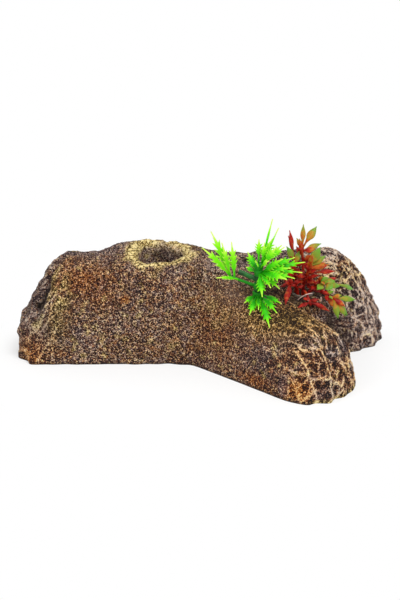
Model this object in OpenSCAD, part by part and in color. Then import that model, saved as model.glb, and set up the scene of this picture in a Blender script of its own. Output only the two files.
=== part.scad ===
// Resin cave ornament: a hollow cast log with a knot hole and two roots, with two plastic plants in its roof.
// Millimetres, +Z up. The log stands on z = 0 with its length along X, and its front faces -Y.

/* [Trunk] */
// Where the trunk's centre line starts, at the slanted end
trunk_x0 = -93; // [-100:1:-86]
// Where the trunk's centre line ends, among the roots
trunk_x1 = 21; // [14:1:28]
// How far the trunk's centre line lies behind the origin
trunk_y = 21; // [17:0.5:25]
// Half-width of the trunk at its foot, at the slanted end
trunk_half = 27.5; // [24:0.5:31]
// Half-width of the trunk at its foot, at the roots
waist_half = 26.5; // [24:0.5:30]
// Height of the trunk at the slanted end
trunk_h = 57; // [52:0.5:62]
// Height of the trunk at the roots
waist_h = 54.5; // [50:0.5:60]
// Length of the rounded cap at the slanted end
end_cap = 16; // [12:0.5:20]
// Height at which the slanted end starts, at its foot
slant_low = 22; // [16:0.5:28]
// Length over which the slanted end rises to the top
slant_run = 29; // [24:0.5:36]
// Depth of the crack down the slanted end
crack_depth = 3.5; // [1:0.25:5]
// Half-width of that crack
crack_half = 3.6; // [2.5:0.1:5]

/* [Roots] */
// Tip of the back root's centre line, in x
back_x = 71; // [63:1:77]
// Tip of the back root's centre line, in y
back_y = 30.5; // [26.5:0.5:34.5]
// Half-width of the back root at its foot
back_half = 24; // [20.5:0.5:27.5]
// Height of the back root
back_h = 58.5; // [52:0.5:64]
// Length of the back root's rounded end
back_cap = 37.5; // [32:0.5:42]
// Tip of the front root's centre line, in x
front_x = 58; // [52:1:64]
// Tip of the front root's centre line, in y
front_y = -29; // [-34:0.5:-24]
// Half-width of the front root at its foot
front_half = 25.5; // [22:0.5:28]
// Height of the front root at its tip
front_h = 36; // [30:0.5:42]
// Length of the front root's rounded end
front_cap = 26; // [22:0.5:30]
// Height of the web in the fork, where the red plant stands
fork_h = 40; // [36:0.5:46]
// Half-width of the web in the fork
fork_half = 17; // [14:0.5:20]

/* [Knot hole] */
// Centre of the knot hole, in x
knot_x = -25; // [-34:0.5:-14]
// Centre of the knot hole, in y
knot_y = 25; // [22:0.5:28]
// Radius of the knot hole
knot_r = 13.5; // [11:0.5:15]
// Distance of the rim's crest from the knot hole's edge
rim_w = 4.5; // [3.5:0.25:6]
// Height of the rim's crest above the floor
rim_h = 58; // [55:0.5:62]
// Distance over which the rim falls away to the trunk
rim_flank = 24; // [18:0.5:28]
// How high the lumps on the rim stand
rim_lump = 0.8; // [0:0.1:1.5]
// Depth of the throat below the rim's crest
throat_depth = 14; // [10:0.5:20]
// Thickness of the throat's wall
throat_wall = 3.5; // [2.5:0.25:5]

/* [Casting] */
// Thickness of the log's side walls at the foot
wall = 5; // [4:0.25:6.5]
// Thickness of the log's roof
roof = 7; // [6:0.25:9]
// Distance between bark furrows round the foot
furrow_pitch = 14; // [11:0.5:18]
// Depth of the bark furrows on the roots
bark_depth = 2; // [0:0.25:3]
// Distance between the bark's knobs
knob_pitch = 17; // [14:0.5:22]
// How high the bark's knobs stand on the roots
knob_h = 0.9; // [0:0.1:1.4]

/* [Sockets] */
// Place of the green plant's socket, in x
green_x = 30.5; // [26:0.5:34]
// Place of the green plant's socket, in y
green_y = -13; // [-16:0.5:-9]
// Place of the red plant's socket, in x
red_x = 57; // [53:0.5:60]
// Place of the red plant's socket, in y
red_y = 5; // [2:0.5:8]
// Depth of a socket below the roof's surface
socket_depth = 3; // [2.5:0.25:3.5]
// Width of the level ground round a socket
ground_w = 3; // [2:0.25:4]
// Clearance between glued or pushed-on pieces
fit = 0.15; // [0.1:0.05:0.25]

/* [Green plant] */
// Radius of the green plant's foot disc
green_foot_r = 5; // [4.5:0.25:6]
// Thickness of both plants' foot discs
foot_t = 2; // [1.5:0.25:2.25]
// Radius of the peg below a foot disc
peg_r = 2; // [1.5:0.25:2.5]
// Length of the peg below a foot disc
peg_len = 5; // [4:0.5:8]
// Radius of the stem's thinnest length, under the crown
stem_r = 1.3; // [1.1:0.05:1.6]
// How much the stem thickens at each shoulder
shoulder = 0.4; // [0.3:0.05:0.6]
// Height of the front spray's shoulder above the ground
front_at = 1.6; // [1.4:0.1:2.4]
// Height of the left spray's shoulder above the ground
left_at = 6.6; // [6:0.2:7.6]
// Height of the crown's shoulder above the ground
crown_at = 14.6; // [14:0.2:16.6]
// Height of a leaf spray's collar
collar_h = 3.6; // [3:0.2:4]
// Thickness of a leaf spray's collar
collar_t = 0.9; // [0.7:0.1:1.3]
// Radius of the cut side shoot on the stem
shoot_r = 1.4; // [1:0.1:1.8]
// Width of the broadest green leaf
green_leaf_w = 9; // [6:0.5:11]
// Pairs of teeth on a green leaf
leaf_teeth = 3; // [2:1:5]
// Radius of the left spray's arm
arm_r = 0.8; // [0.6:0.1:1.1]

/* [Red plant] */
// Radius of the red plant's foot disc
red_foot_r = 6.5; // [6:0.25:8]
// Radius of the ring on which the sprigs stand
sprig_ring = 4; // [3.5:0.25:4.5]
// Radius of a sprig's foot, in its hole
sprig_pin_r = 0.7; // [0.5:0.05:0.8]
// Radius of a sprig's stem
sprig_r = 0.95; // [0.85:0.05:1.1]
// Width of the broadest red leaf
red_leaf_w = 4.8; // [3.6:0.1:6]

/* [Leaves and glue] */
// Thickness of a leaf at its midrib
leaf_t = 0.9; // [0.6:0.05:1.2]
// How far the crown of a glue bead stands above the ground
bead_h = 0.8; // [0.4:0.1:1.2]
// Width of the red plant's glue bead
red_bead_w = 1.3; // [1:0.05:1.4]

/* [Hidden] */
$fn = 48;

resin_brown = "#6f5a48";
leaf_green = "#3fcf1c";
stem_green = "#1f6b2a";
leaf_red = "#a3261a";
glue_clear = "#d8d2c4";

// Where the roots and the web between them start, inside the trunk
back_start = [trunk_x1 - 10, trunk_y + 1];
front_start = [trunk_x1 - 12, trunk_y - 5];
fork_start = [trunk_x1 + 9, trunk_y - 12];
root_half = trunk_half - 0.5;
root_cap = trunk_half + 0.5;
trunk_cap = waist_half + 3.5;
web_half = fork_half + 3;
web_drop = 3;

// Squareness of each limb in plan, and the bulge and fullness of its walls
trunk_square = 3;
trunk_wall = [3, 1.7];
back_square = 2.2;
back_wall = [1.8, 1.5];
front_square = 2.3;
front_wall = [2.4, 1.6];
web_square = 2.2;

// Limbs of the log: start, end, half-widths, heights, cap lengths, squareness and walls.
// Pairs are at the start and at the end.
trunk_limb = [
    [trunk_x0, trunk_y], [trunk_x1, trunk_y], [trunk_half, waist_half], [trunk_h, waist_h],
    [end_cap, trunk_cap], trunk_square, trunk_wall
];
back_limb = [
    back_start, [back_x, back_y], [root_half, back_half], [waist_h, back_h], [root_cap, back_cap],
    back_square, back_wall
];
front_limb = [
    front_start, [front_x, front_y], [root_half, front_half], [waist_h, front_h], [root_cap, front_cap],
    front_square, front_wall
];
fork_limb = [
    fork_start, [red_x, red_y - 1], [web_half, fork_half], [waist_h - web_drop, fork_h],
    [web_half, fork_half + 2], web_square, front_wall
];
limbs = [trunk_limb, back_limb, front_limb, fork_limb];

// How tightly the limbs blend, and the plane that cuts the slanted end
blend = 5.5;
slant_x = trunk_x0 - end_cap;
slant_top = trunk_h + 3;
corner_round = 2.5;

// Rim of the knot hole: its fall to the hole's edge, its rise to the back, the side where it stands highest,
// the ripples round it, and the share of the log's half-width over which forms fade out at the foot
knot = [knot_x, knot_y];
rim_r = knot_r + rim_w;
rim_drop = 3;
rim_tilt = 0.07;
rim_high_turn = 120;
ripples = 7;
ripple_share = 0.4;
edge_fade_share = 0.35;
throat_z = rim_h - throat_depth;

// Ends of the crack in plan
crack_top = [slant_x + 27, trunk_y - 2];
crack_low = [slant_x + 15, trunk_y - 17];

// How the casting is set out: rays to a furrow, rows of points on each ray, and samples behind the rows
rays_per_furrow = 4;
outer_rows = 19;
inner_rows = 9;
samples = 44;
sample_power = 1.8;
flat_share = 0.55;
foot_low = knot_r / 2;
foot_high = back_x + back_cap + trunk_half - knot_x + end_cap;
halvings = 26;

// Bark: the trunk's furrows and knobs beside the roots', how soon the roots' roughness starts, where the sides
// start, how the furrows' depth beats, and how the knobs slant
furrow_share = 0.3;
knob_share = 0.75;
end_reach_share = 1.5;
side_start_share = 0.5;
furrow_beat_share = 0.3;
knob_skew_share = 0.4;

green_at = [green_x, green_y];
red_at = [red_x, red_y];
green_z = body_z(green_at);
red_z = body_z(red_at);
grounds = [[green_at, green_z, green_foot_r + ground_w], [red_at, red_z, red_foot_r + ground_w]];
ground_blend = 7;

// Leaf tips of each green spray, from the centre of its collar, with the leaf's share of the full width.
// The left spray's leaves also have their place along its arm.
front_leaves = [
    [[-8, -8, -2], 0.6], [[-5.5, -15.5, -6], 0.75], [[5.5, -20.5, -11.5], 0.85], [[12.5, -6.5, -3], 0.6],
    [[9.5, -17.5, -4], 0.7], [[-0.5, -15, -3], 0.45]
];
left_arm = [-15.5, 4, 4];
left_leaves = [
    [[-26.5, 9, 29], 0.85, 1], [[-20.5, 3, 24.5], 0.6, 1], [[-31.5, 0.5, 22.5], 0.75, 1],
    [[-15, 7, 23.5], 0.75, 0.85], [[-23.5, -2, 5.5], 0.4, 0.7]
];
crown_leaves = [
    [[-6, 7, 9.5], 0.85], [[-7, 3, 2], 0.5], [[13, -4, 9.5], 0.85], [[26, 4, 4.5], 0.7],
    [[24, -3, 1], 0.5], [[17.5, -5, 4.5], 0.7], [[14.5, -16, 2], 1.1], [[11, -12, -5], 0.75],
    [[1.5, -14, -9], 0.85]
];
top_leaves = [
    [[0, 4, 14.5], 0.75], [[7.5, 6, 14], 1], [[3, 1.5, 13.5], 0.6], [[7.5, 8, 25], 0.18],
    [[10.5, 1.5, 22], 0.14], [[13, 8, 9.5], 0.7], [[9, -4, 12.5], 0.85]
];
arm_over_share = 1.05;
shoot_foot = 12;
shoot_tip = [-11, 3.5, 15.5];

// Red sprigs: hole in the foot, end of the stem, and leaves as share along the stem, tip and width share.
// Places are from the red plant's ground point.
left_sprig = [
    165, [-6, 1, 23.5],
    [
        [0.94, [-8.5, 3, 37], 0.5], [0.94, [-9.5, -2, 35.5], 0.42], [0.8, [-10.5, -4.5, 30], 0.8],
        [0.75, [-2.5, 4, 24], 0.65], [0.6, [-12.5, 2, 20.5], 0.5], [0.5, [-9.5, -4, 13], 0.55],
        [0.4, [-10.5, 3, 15.5], 0.5]
    ]
];
tall_sprig = [
    80, [-1, 5, 27.5],
    [
        [0.94, [-0.5, 6, 39.5], 0.68], [0.94, [7.5, 9.5, 37], 1], [0.93, [-4, 6.5, 31], 0.55],
        [0.9, [6.5, 3, 25.5], 0.75], [0.9, [10.5, 9.5, 26.5], 0.65], [0.7, [-6.5, 6, 16], 0.55],
        [0.65, [3.5, 8, 17.5], 0.6], [0.8, [-4, 8, 25.5], 0.6]
    ]
];
middle_sprig = [
    0, [3.5, -4, 18.5],
    [
        [0.94, [8.5, -4, 29.5], 1], [0.94, [12, -2, 23.5], 0.75], [0.95, [10.5, -2.5, 17], 0.65],
        [0.8, [-1, -7, 22], 0.55], [0.7, [18, 2, 12.5], 0.65], [0.6, [-4, -8, 13.5], 0.65],
        [0.75, [14.5, 0, 17.5], 0.6], [0.9, [3.5, -11.5, 28.5], 0.55], [0.5, [8, -9, 14.5], 0.6]
    ]
];
right_sprig = [
    -5, [13.5, -3, 6.5],
    [
        [0.94, [16, -7, 5], 1], [0.9, [7, -10, 6], 0.75], [0.94, [11, -5, 12], 0.9],
        [0.94, [21, 0, 4], 0.75], [0.94, [30.5, 11.5, -2.5], 0.65], [0.8, [19.5, 4.5, 7.5], 0.6],
        [0.7, [11, -9, 3.5], 0.5]
    ]
];
low_sprig = [
    -50, [19, -7, -2],
    [
        [0.94, [25.5, -6, -11.5], 0.6], [0.94, [19.5, -11.5, -11], 0.7], [0.94, [30, -3, -3], 0.7],
        [0.8, [12.5, -13, 0.5], 0.55], [0.9, [23.5, -9.5, -4.5], 0.6], [0.9, [21.5, -7, 1.5], 0.55],
        [0.6, [14.5, -8, 2.5], 0.5]
    ]
];
front_sprig = [
    -95, [3.5, -13.5, -2],
    [
        [0.94, [-4.5, -20.5, -0.5], 0.5], [0.94, [12, -13, -3.5], 0.55], [0.9, [8, -12, 1], 0.5],
        [0.85, [-1, -15, 2.5], 0.5], [0.94, [14.5, -11.5, -6.5], 0.5]
    ]
];
droop_sprig = [
    -140, [-9.5, -9, 9],
    [
        [0.94, [-11.5, -22, 2], 0.62], [0.9, [-13.5, -8, 7], 0.45], [0.8, [-5.5, -11.5, 8.5], 0.55],
        [0.7, [-3, -9.5, 10], 0.55], [0.95, [-7, -9, 12.5], 0.5], [0.9, [-8.5, -13, 3], 0.45]
    ]
];
sprigs = [left_sprig, tall_sprig, middle_sprig, right_sprig, low_sprig, front_sprig, droop_sprig];
sprig_rise = 9;
sprig_taper_share = 0.7;
tube_sides = 6;
tube_rings = 6;
tube_step_share = 0.02;

// Form of a leaf, in shares of its length or width
leaf_faces = [0, -0.7, 0.7];
leaf_stalk_share = 0.2;
top_stalk_share = 0.42;
stalk_half_share = 0.6;
tip_share = 0.97;
swell_shares = [0.12, 0.98];
swell_power = 0.75;
toothed_share = 0.76;
notch_share = 0.28;
lean_share = 1;
arch_share = 0.35;
edge_thin_share = 0.4;
fold_share = 0.22;
blade_share = 0.3;
blade_steps = 4;

// Shoulders of a glue bead, in shares of its half-width and height
bead_shoulder_share = 0.6;
bead_fall_share = 0.8;

function lerp(a, b, t) = a + (b - a) * t;
function clamped(t) = min(1, max(0, t));
function smooth(t) = let (c = clamped(t)) c * c * (3 - 2 * c);
function total(v) = v * [for (x = v) 1];
function unit(v) = v / norm(v);
function soft_min(a, b, k) = -k * ln(exp(-a / k) + exp(-b / k));

// How a point in plan lies on one limb: 0 on its centre line and 1 at its foot, with the height, bulge,
// fullness and overrun there. An inset draws the limb's sides in by a wall.
function limb_at(limb, p, inset) =
    let (
        axis = limb[1] - limb[0],
        run = norm(axis),
        ahead = (p - limb[0]) * axis / run,
        aside = cross(axis, p - limb[0]) / run,
        t = clamped(ahead / run),
        half = lerp(limb[2][0], limb[2][1], t) - inset,
        over = ahead < 0 ? -ahead / (limb[4][0] - inset) : max(0, ahead - run) / (limb[4][1] - inset),
        n = limb[5]
    )
    [
        pow(pow(over, n) + pow(abs(aside) / half, n), 1 / n), lerp(limb[3][0], limb[3][1], t),
        limb[6][0], limb[6][1], over
    ];

// The limbs blended into one log, in the same terms
function log_at(p, inset = 0) =
    let (
        near = [for (limb = limbs) limb_at(limb, p, inset)],
        pull = [for (n = near) exp(-blend * n[0] * n[0])],
        shared = pull * near / total(pull)
    )
    [sqrt(max(0, -ln(total(pull)) / blend)), shared[1], shared[2], shared[3], shared[4]];

// Height of a dome on the log's plan: full height on the centre line, falling to nothing at the foot
function dome(at, top) = top * pow(max(0, 1 - pow(at[0], at[2])), 1 / at[3]);
function slant_z(x) = slant_low + (slant_top - slant_low) * (x - slant_x) / slant_run;

// The log's bare height, cut by the slanted end and its crack
function body_z(p) =
    let (at = log_at(p), top = soft_min(at[1], slant_z(p[0]), corner_round))
    dome(at, top)
        - crack_depth * exp(-pow(crack_gap(p) / crack_half, 2)) * smooth((1 - at[0]) / edge_fade_share);

// Distance in plan from the crack's line
function crack_gap(p) =
    let (line = crack_low - crack_top, t = clamped((p - crack_top) * line / (line * line)))
    norm(p - crack_top - line * t);

// Level ground round each socket, lowered by a depth
function levelled(z, p, depth, k = 0) =
    k == len(grounds) ? z :
    let (g = grounds[k], near = smooth((g[2] + ground_blend - norm(p - g[0])) / ground_blend))
    levelled(lerp(z, g[1] - depth, near), p, depth, k + 1);

// Outer surface: the log with its level ground and the rim of the knot hole
function outer_z(p) =
    let (
        at = log_at(p),
        d = norm(p - knot),
        turn = atan2(p[1] - knot_y, p[0] - knot_x),
        lump = rim_lump * (cos(2 * (turn - rim_high_turn)) + ripple_share * sin(ripples * turn)),
        inside = max(0, (rim_r - d) / rim_w),
        crest = rim_h + lump + rim_tilt * (p[1] - knot_y) - rim_drop * inside * inside,
        near = smooth((rim_r + rim_flank - d) / rim_flank) * smooth((1 - at[0]) / edge_fade_share)
    )
    lerp(levelled(body_z(p), p, 0), crest, near);

// Ceiling of the cavity: the same log drawn in by the wall and lowered by the roof
function inner_z(p) =
    let (at = log_at(p, wall), top = soft_min(at[1], slant_z(p[0]), corner_round) - roof)
    min(dome(at, top), levelled(dome(at, top), p, roof));

function ray(turn, r) = knot + r * [cos(turn), sin(turn)];

// Distance from the knot hole's centre to the log's foot, found by halving
function foot_r(turn, inset, low = foot_low, high = foot_high, steps = halvings) =
    let (mid = (low + high) / 2)
    steps == 0 ? mid :
    log_at(ray(turn, mid), inset)[0] < 1 ? foot_r(turn, inset, mid, high, steps - 1) :
    foot_r(turn, inset, low, mid, steps - 1);

// Running length along a line of points, with distances in r counted by a weight
function run_of(line, weight) =
    let (weighed = [for (q = line) [weight * q[0], q[1]]])
    [
        for (i = 0, s = 0; i < len(line); i = i + 1,
             s = s + (i < len(line) ? norm(weighed[i] - weighed[i - 1]) : 0)) s
    ];

// A line of [r, z] points set out again as a count of points at even steps
function even_steps(line, count, weight) =
    let (run = run_of(line, weight), last = run[len(run) - 1])
    [
        for (k = [0 : count - 1])
        let (s = last * k / (count - 1))
        [
            lookup(s, [for (i = [0 : len(line) - 1]) [run[i], line[i][0]]]),
            lookup(s, [for (i = [0 : len(line) - 1]) [run[i], line[i][1]]])
        ]
    ];

// The bark's knobs, from -1 to 1: one wave along the log times another across it, both slanting with height
function knob(p, z) =
    sin(360 * (p[0] + z) / knob_pitch) * sin(360 * (p[1] + knob_skew_share * p[0] - z) / knob_pitch);

// The bark's furrow at a phase round the foot, from 0 to 1, with every third or so shallower
function furrow(phase) =
    (1 + cos(phase)) / 2 * (1 - furrow_beat_share + furrow_beat_share * cos(furrow_beat_share * phase));

// A point of the bark on one ray: furrows cut its sides, and knobs push its sides out and its top up
function bark_point(turn, foot, r, ends, phase) =
    let (
        p = ray(turn, r),
        z = r == foot ? 0 : outer_z(p),
        side = smooth((r / foot - side_start_share) / edge_fade_share),
        push = knob_h * lerp(knob_share, 1, ends) * knob(p, z) * smooth((r - rim_r) / rim_flank),
        cut = bark_depth * lerp(furrow_share, 1, ends) * furrow(phase)
    )
    [r + (push - cut) * side, z + push * (1 - side)];

// Section of the shell on one ray from the knot hole: foot, roof, rim, throat, ceiling and inner foot
function shell_section(turn, phase) =
    let (
        foot = foot_r(turn, 0),
        inner_foot = foot_r(turn, wall),
        ends = smooth(log_at(ray(turn, foot))[4] * end_reach_share),
        skin = [
            for (i = [0 : samples])
            bark_point(turn, foot, lerp(foot, knot_r, pow(i / samples, sample_power)), ends, phase)
        ],
        collar_r = knot_r + throat_wall,
        lining = [
            for (i = [0 : samples])
            let (r = lerp(inner_foot, collar_r, pow(1 - i / samples, sample_power)))
            [r, i == samples ? 0 : inner_z(ray(turn, r))]
        ]
    )
    concat(
        even_steps(skin, outer_rows, flat_share),
        [[knot_r, throat_z]],
        even_steps(concat([[collar_r, throat_z]], lining), inner_rows, 1)
    );

// Directions of the rays, at even steps round the foot
function ray_turns(count) =
    let (
        steps = 240,
        foot = [for (i = [0 : steps]) let (a = 360 * i / steps) ray(a, foot_r(a, 0))],
        run = run_of(foot, 1)
    )
    [
        for (k = [0 : count - 1])
        lookup(run[steps] * k / count, [for (i = [0 : steps]) [run[i], 360 * i / steps]])
    ];

// Length round the log's foot
function foot_length() =
    let (steps = 90, foot = [for (i = [0 : steps]) let (a = 360 * i / steps) ray(a, foot_r(a, 0))])
    run_of(foot, 1)[steps];

// A closed skin over rings of points, joined into a loop of rings
module ring_of_sections(sections) {
    n = len(sections);
    k = len(sections[0]);
    points = [for (s = sections) each s];
    faces = [
        for (i = [0 : n - 1])
        for (j = [0 : k - 1])
        let (
            a = i * k + j, b = i * k + (j + 1) % k, c = (i + 1) % n * k + (j + 1) % k, d = (i + 1) % n * k + j
        )
        each [[a, c, d], [a, b, c]]
    ];
    polyhedron(points, faces);
}

// A closed skin over an open run of rings, with flat ends. Even points of a leaf's ring are its edges, and the
// diagonals run from the midrib to the next ring's edge, so that teeth can lean forward.
module tube_of_rings(rings) {
    n = len(rings);
    k = len(rings[0]);
    points = [for (r = rings) each r];
    sides = [
        for (i = [0 : n - 2])
        for (j = [0 : k - 1])
        let (a = i * k + j, b = i * k + (j + 1) % k, c = (i + 1) * k + (j + 1) % k, d = (i + 1) * k + j)
        each j % 2 == 0 ? [[a, d, b], [b, d, c]] : [[a, c, b], [a, d, c]]
    ];
    start = [for (j = [1 : k - 2]) [0, j, j + 1]];
    finish = [for (j = [1 : k - 2]) [(n - 1) * k, (n - 1) * k + j + 1, (n - 1) * k + j]];
    polyhedron(points, concat(sides, start, finish));
}

// The casting before its sockets are drilled
module log_casting() {
    furrows = round(foot_length() / furrow_pitch);
    count = rays_per_furrow * furrows;
    turns = ray_turns(count);
    ring_of_sections([
        for (i = [0 : count - 1])
        [
            for (q = shell_section(turns[i], 360 * i / rays_per_furrow))
            [knot_x + q[0] * cos(turns[i]), knot_y + q[0] * sin(turns[i]), q[1]]
        ]
    ]);
}

// A counterbore for a foot disc, with the peg's hole through the roof
module socket(at, ground, foot_radius) {
    floor_z = ground - socket_depth;
    translate([at[0], at[1], floor_z]) cylinder(r = foot_radius + fit, h = socket_depth + roof);
    translate([at[0], at[1], floor_z - 2 * roof]) cylinder(r = peg_r + fit, h = 2 * roof + socket_depth);
}

module cave_shell() {
    color(resin_brown)
    difference() {
        log_casting();
        socket(green_at, green_z, green_foot_r);
        socket(red_at, red_z, red_foot_r);
    }
}

// Stations along a leaf's blade: share of the way, share of the swelling width, and lean in tooth lengths
function blade_stations(teeth) =
    teeth == 0 ? [for (i = [0 : blade_steps]) [i / blade_steps, 1, 0]] :
    [
        for (i = [0 : 2 * teeth])
        let (s = toothed_share * i / (2 * teeth))
        i % 2 == 0 ? [s, notch_share, 0] : [s, 1, lean_share],
        [1, notch_share, 0]
    ];

// One leaf: a thin folded blade of four-sided rings along an arched midrib, with forward teeth if it has any
module leaf(base, tip, half, teeth, stalk_share) {
    length = norm(tip - base);
    u = unit(tip - base);
    side = unit(cross(u, leaf_faces));
    lift = cross(side, u);
    tooth = toothed_share * (1 - stalk_share) * length / max(teeth, 1);
    blade = [
        for (b = blade_stations(teeth))
        let (swell = sin(180 * pow(lerp(swell_shares[0], swell_shares[1], b[0]), swell_power)))
        [lerp(stalk_share, tip_share, b[0]), max(leaf_t / 3, half * swell * b[1]), b[2] * tooth]
    ];
    tube_of_rings([
        for (b = concat([[0, leaf_t * stalk_half_share, 0]], blade))
        let (
            c = base + u * length * b[0] + lift * arch_share * length * b[0] * (1 - b[0]),
            thick = leaf_t / 2 * lerp(1, edge_thin_share, b[0]),
            edge = u * b[2] - lift * fold_share * b[1]
        )
        [c + side * b[1] + edge, c - lift * thick, c - side * b[1] + edge, c + lift * thick]
    ]);
}

// Radius of the stem below a shoulder: 0 under the crown, then thicker downwards
function stem_radius(k) = stem_r + k * shoulder;

// The stepped stem on its foot disc and peg, with the cut side shoot
module green_stem() {
    ground = [green_x, green_y, green_z];
    crown_top = crown_at + 2 * collar_h;
    color(stem_green)
    translate(ground) {
        translate([0, 0, -socket_depth - peg_len]) cylinder(r = peg_r, h = peg_len + foot_t / 2);
        translate([0, 0, -socket_depth]) cylinder(r = green_foot_r, h = foot_t);
        translate([0, 0, -socket_depth]) cylinder(r = stem_radius(3), h = socket_depth + front_at);
        cylinder(r = stem_radius(2), h = left_at);
        cylinder(r = stem_radius(1), h = crown_at);
        cylinder(r = stem_radius(0), h = crown_top);
        rod([0, 0, shoot_foot], shoot_tip, shoot_r);
    }
}

// A round bar between two points
module rod(from, to, r) {
    d = to - from;
    translate(from) rotate([0, acos(d[2] / norm(d)), atan2(d[1], d[0])]) cylinder(r = r, h = norm(d));
}

// Where a leaf leaves a collar: in the wall, on the side of its tip
function collar_root(tip, outer_r) = (outer_r - collar_t / 2) * unit([tip[0], tip[1], 0]);

// A leaf spray: a collar pushed on the stem at a height, with leaves out of its wall or along its arm
module spray(at_z, spigot_r, leaves, stalk_share = leaf_stalk_share, arm = [0, 0, 0]) {
    outer_r = spigot_r + fit + collar_t;
    color(leaf_green)
    translate([green_x, green_y, green_z + at_z])
    difference() {
        union() {
            cylinder(r = outer_r, h = collar_h);
            translate([0, 0, collar_h / 2])
            for (l = leaves) {
                root = norm(arm) > 0 ? arm * l[2] : collar_root(l[0], outer_r);
                teeth = l[1] > blade_share ? leaf_teeth : 0;
                leaf(root, l[0], green_leaf_w / 2 * l[1], teeth, stalk_share);
            }
            if (norm(arm) > 0) translate([0, 0, collar_h / 2]) rod([0, 0, 0], arm * arm_over_share, arm_r);
        }
        translate([0, 0, -collar_h]) cylinder(r = spigot_r + fit, h = 3 * collar_h);
    }
}

module green_front_spray() { spray(front_at, stem_radius(2), front_leaves); }
module green_left_spray() { spray(left_at, stem_radius(1), left_leaves, arm = left_arm); }
module green_crown_spray() { spray(crown_at, stem_radius(0), crown_leaves); }
module green_top_spray() { spray(crown_at + collar_h, stem_radius(0), top_leaves, top_stalk_share); }

// A ring of glue on a foot disc, flat below and crowned above
module bead(inner_r, outer_r) {
    low = foot_t - socket_depth;
    mid = (inner_r + outer_r) / 2;
    shoulder_z = bead_h * bead_fall_share;
    rotate_extrude()
    polygon([
        [inner_r, low], [outer_r, low], [outer_r, 0], [lerp(mid, outer_r, bead_shoulder_share), shoulder_z],
        [mid, bead_h], [lerp(mid, inner_r, bead_shoulder_share), shoulder_z], [inner_r, 0]
    ]);
}

module green_glue_bead() {
    color(glue_clear) translate([green_x, green_y, green_z]) bead(stem_radius(3) + fit, green_foot_r);
}

module red_glue_bead() {
    color(glue_clear) translate([red_x, red_y, red_z]) bead(red_foot_r - red_bead_w, red_foot_r);
}

// Where a sprig stands on the foot disc: the first angle of zero means the middle
function sprig_foot(s) = s[0] == 0 ? [0, 0] : sprig_ring * [cos(s[0]), sin(s[0])];

module red_foot() {
    color(leaf_red)
    translate([red_x, red_y, red_z - socket_depth])
    difference() {
        union() {
            cylinder(r = red_foot_r, h = foot_t);
            translate([0, 0, -peg_len]) cylinder(r = peg_r, h = peg_len + foot_t / 2);
        }
        for (s = sprigs) {
            at = sprig_foot(s);
            translate([at[0], at[1], foot_t / 4]) cylinder(r = sprig_pin_r + fit, h = foot_t);
        }
    }
}

// Point along a sprig's stem: it leaves the foot upright and bends towards its end
function sprig_point(s, t) =
    let (foot = [each sprig_foot(s), foot_t - socket_depth], knee = foot + [0, 0, sprig_rise])
    foot * (1 - t) * (1 - t) + knee * 2 * t * (1 - t) + s[1] * t * t;

module sprig(s) {
    foot = sprig_foot(s);
    color(leaf_red)
    translate([red_x, red_y, red_z]) {
        translate([foot[0], foot[1], foot_t / 4 + fit - socket_depth])
        cylinder(r = sprig_pin_r, h = foot_t * 3 / 4);
        tube_of_rings([
            for (i = [0 : tube_rings - 1])
            let (
                t = i / (tube_rings - 1),
                way = i == 0 ? [0, 0, 1] : unit(sprig_point(s, t) - sprig_point(s, t - tube_step_share)),
                east = unit(cross([0, 1, 0], way)),
                north = cross(way, east)
            )
            [
                for (j = [0 : tube_sides - 1])
                let (a = 360 * j / tube_sides)
                sprig_point(s, t) + lerp(1, sprig_taper_share, t) * sprig_r * (east * cos(a) + north * sin(a))
            ]
        ]);
        for (l = s[2]) leaf(sprig_point(s, l[0]), l[1], red_leaf_w / 2 * l[2], 0, leaf_stalk_share);
    }
}

module red_sprig_left() { sprig(left_sprig); }
module red_sprig_tall() { sprig(tall_sprig); }
module red_sprig_middle() { sprig(middle_sprig); }
module red_sprig_right() { sprig(right_sprig); }
module red_sprig_low() { sprig(low_sprig); }
module red_sprig_front() { sprig(front_sprig); }
module red_sprig_droop() { sprig(droop_sprig); }

cave_shell();
green_stem();
green_left_spray();
green_crown_spray();
green_top_spray();
green_front_spray();
green_glue_bead();
red_foot();
red_sprig_left();
red_sprig_tall();
red_sprig_middle();
red_sprig_right();
red_sprig_low();
red_sprig_front();
red_sprig_droop();
red_glue_bead();
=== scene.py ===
"""Looks of the resin cave ornament: a gritty cast log with a knot hole, and two plants in its roof."""
import math
from types import SimpleNamespace

import bpy
import numpy as np
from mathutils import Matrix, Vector


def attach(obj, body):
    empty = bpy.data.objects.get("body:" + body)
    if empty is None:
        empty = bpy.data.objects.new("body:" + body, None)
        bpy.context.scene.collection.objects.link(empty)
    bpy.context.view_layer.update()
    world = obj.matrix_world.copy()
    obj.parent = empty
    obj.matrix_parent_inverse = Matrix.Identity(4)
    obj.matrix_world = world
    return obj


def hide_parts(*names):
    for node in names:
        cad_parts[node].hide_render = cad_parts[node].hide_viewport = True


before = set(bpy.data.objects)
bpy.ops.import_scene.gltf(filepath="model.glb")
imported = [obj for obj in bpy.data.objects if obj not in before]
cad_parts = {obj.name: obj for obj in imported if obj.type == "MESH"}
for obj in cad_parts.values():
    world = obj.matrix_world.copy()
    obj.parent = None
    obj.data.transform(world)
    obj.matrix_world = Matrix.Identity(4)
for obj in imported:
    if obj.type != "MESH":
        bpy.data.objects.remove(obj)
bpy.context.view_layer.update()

MM = 0.001
TINY = 1e-9

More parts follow.
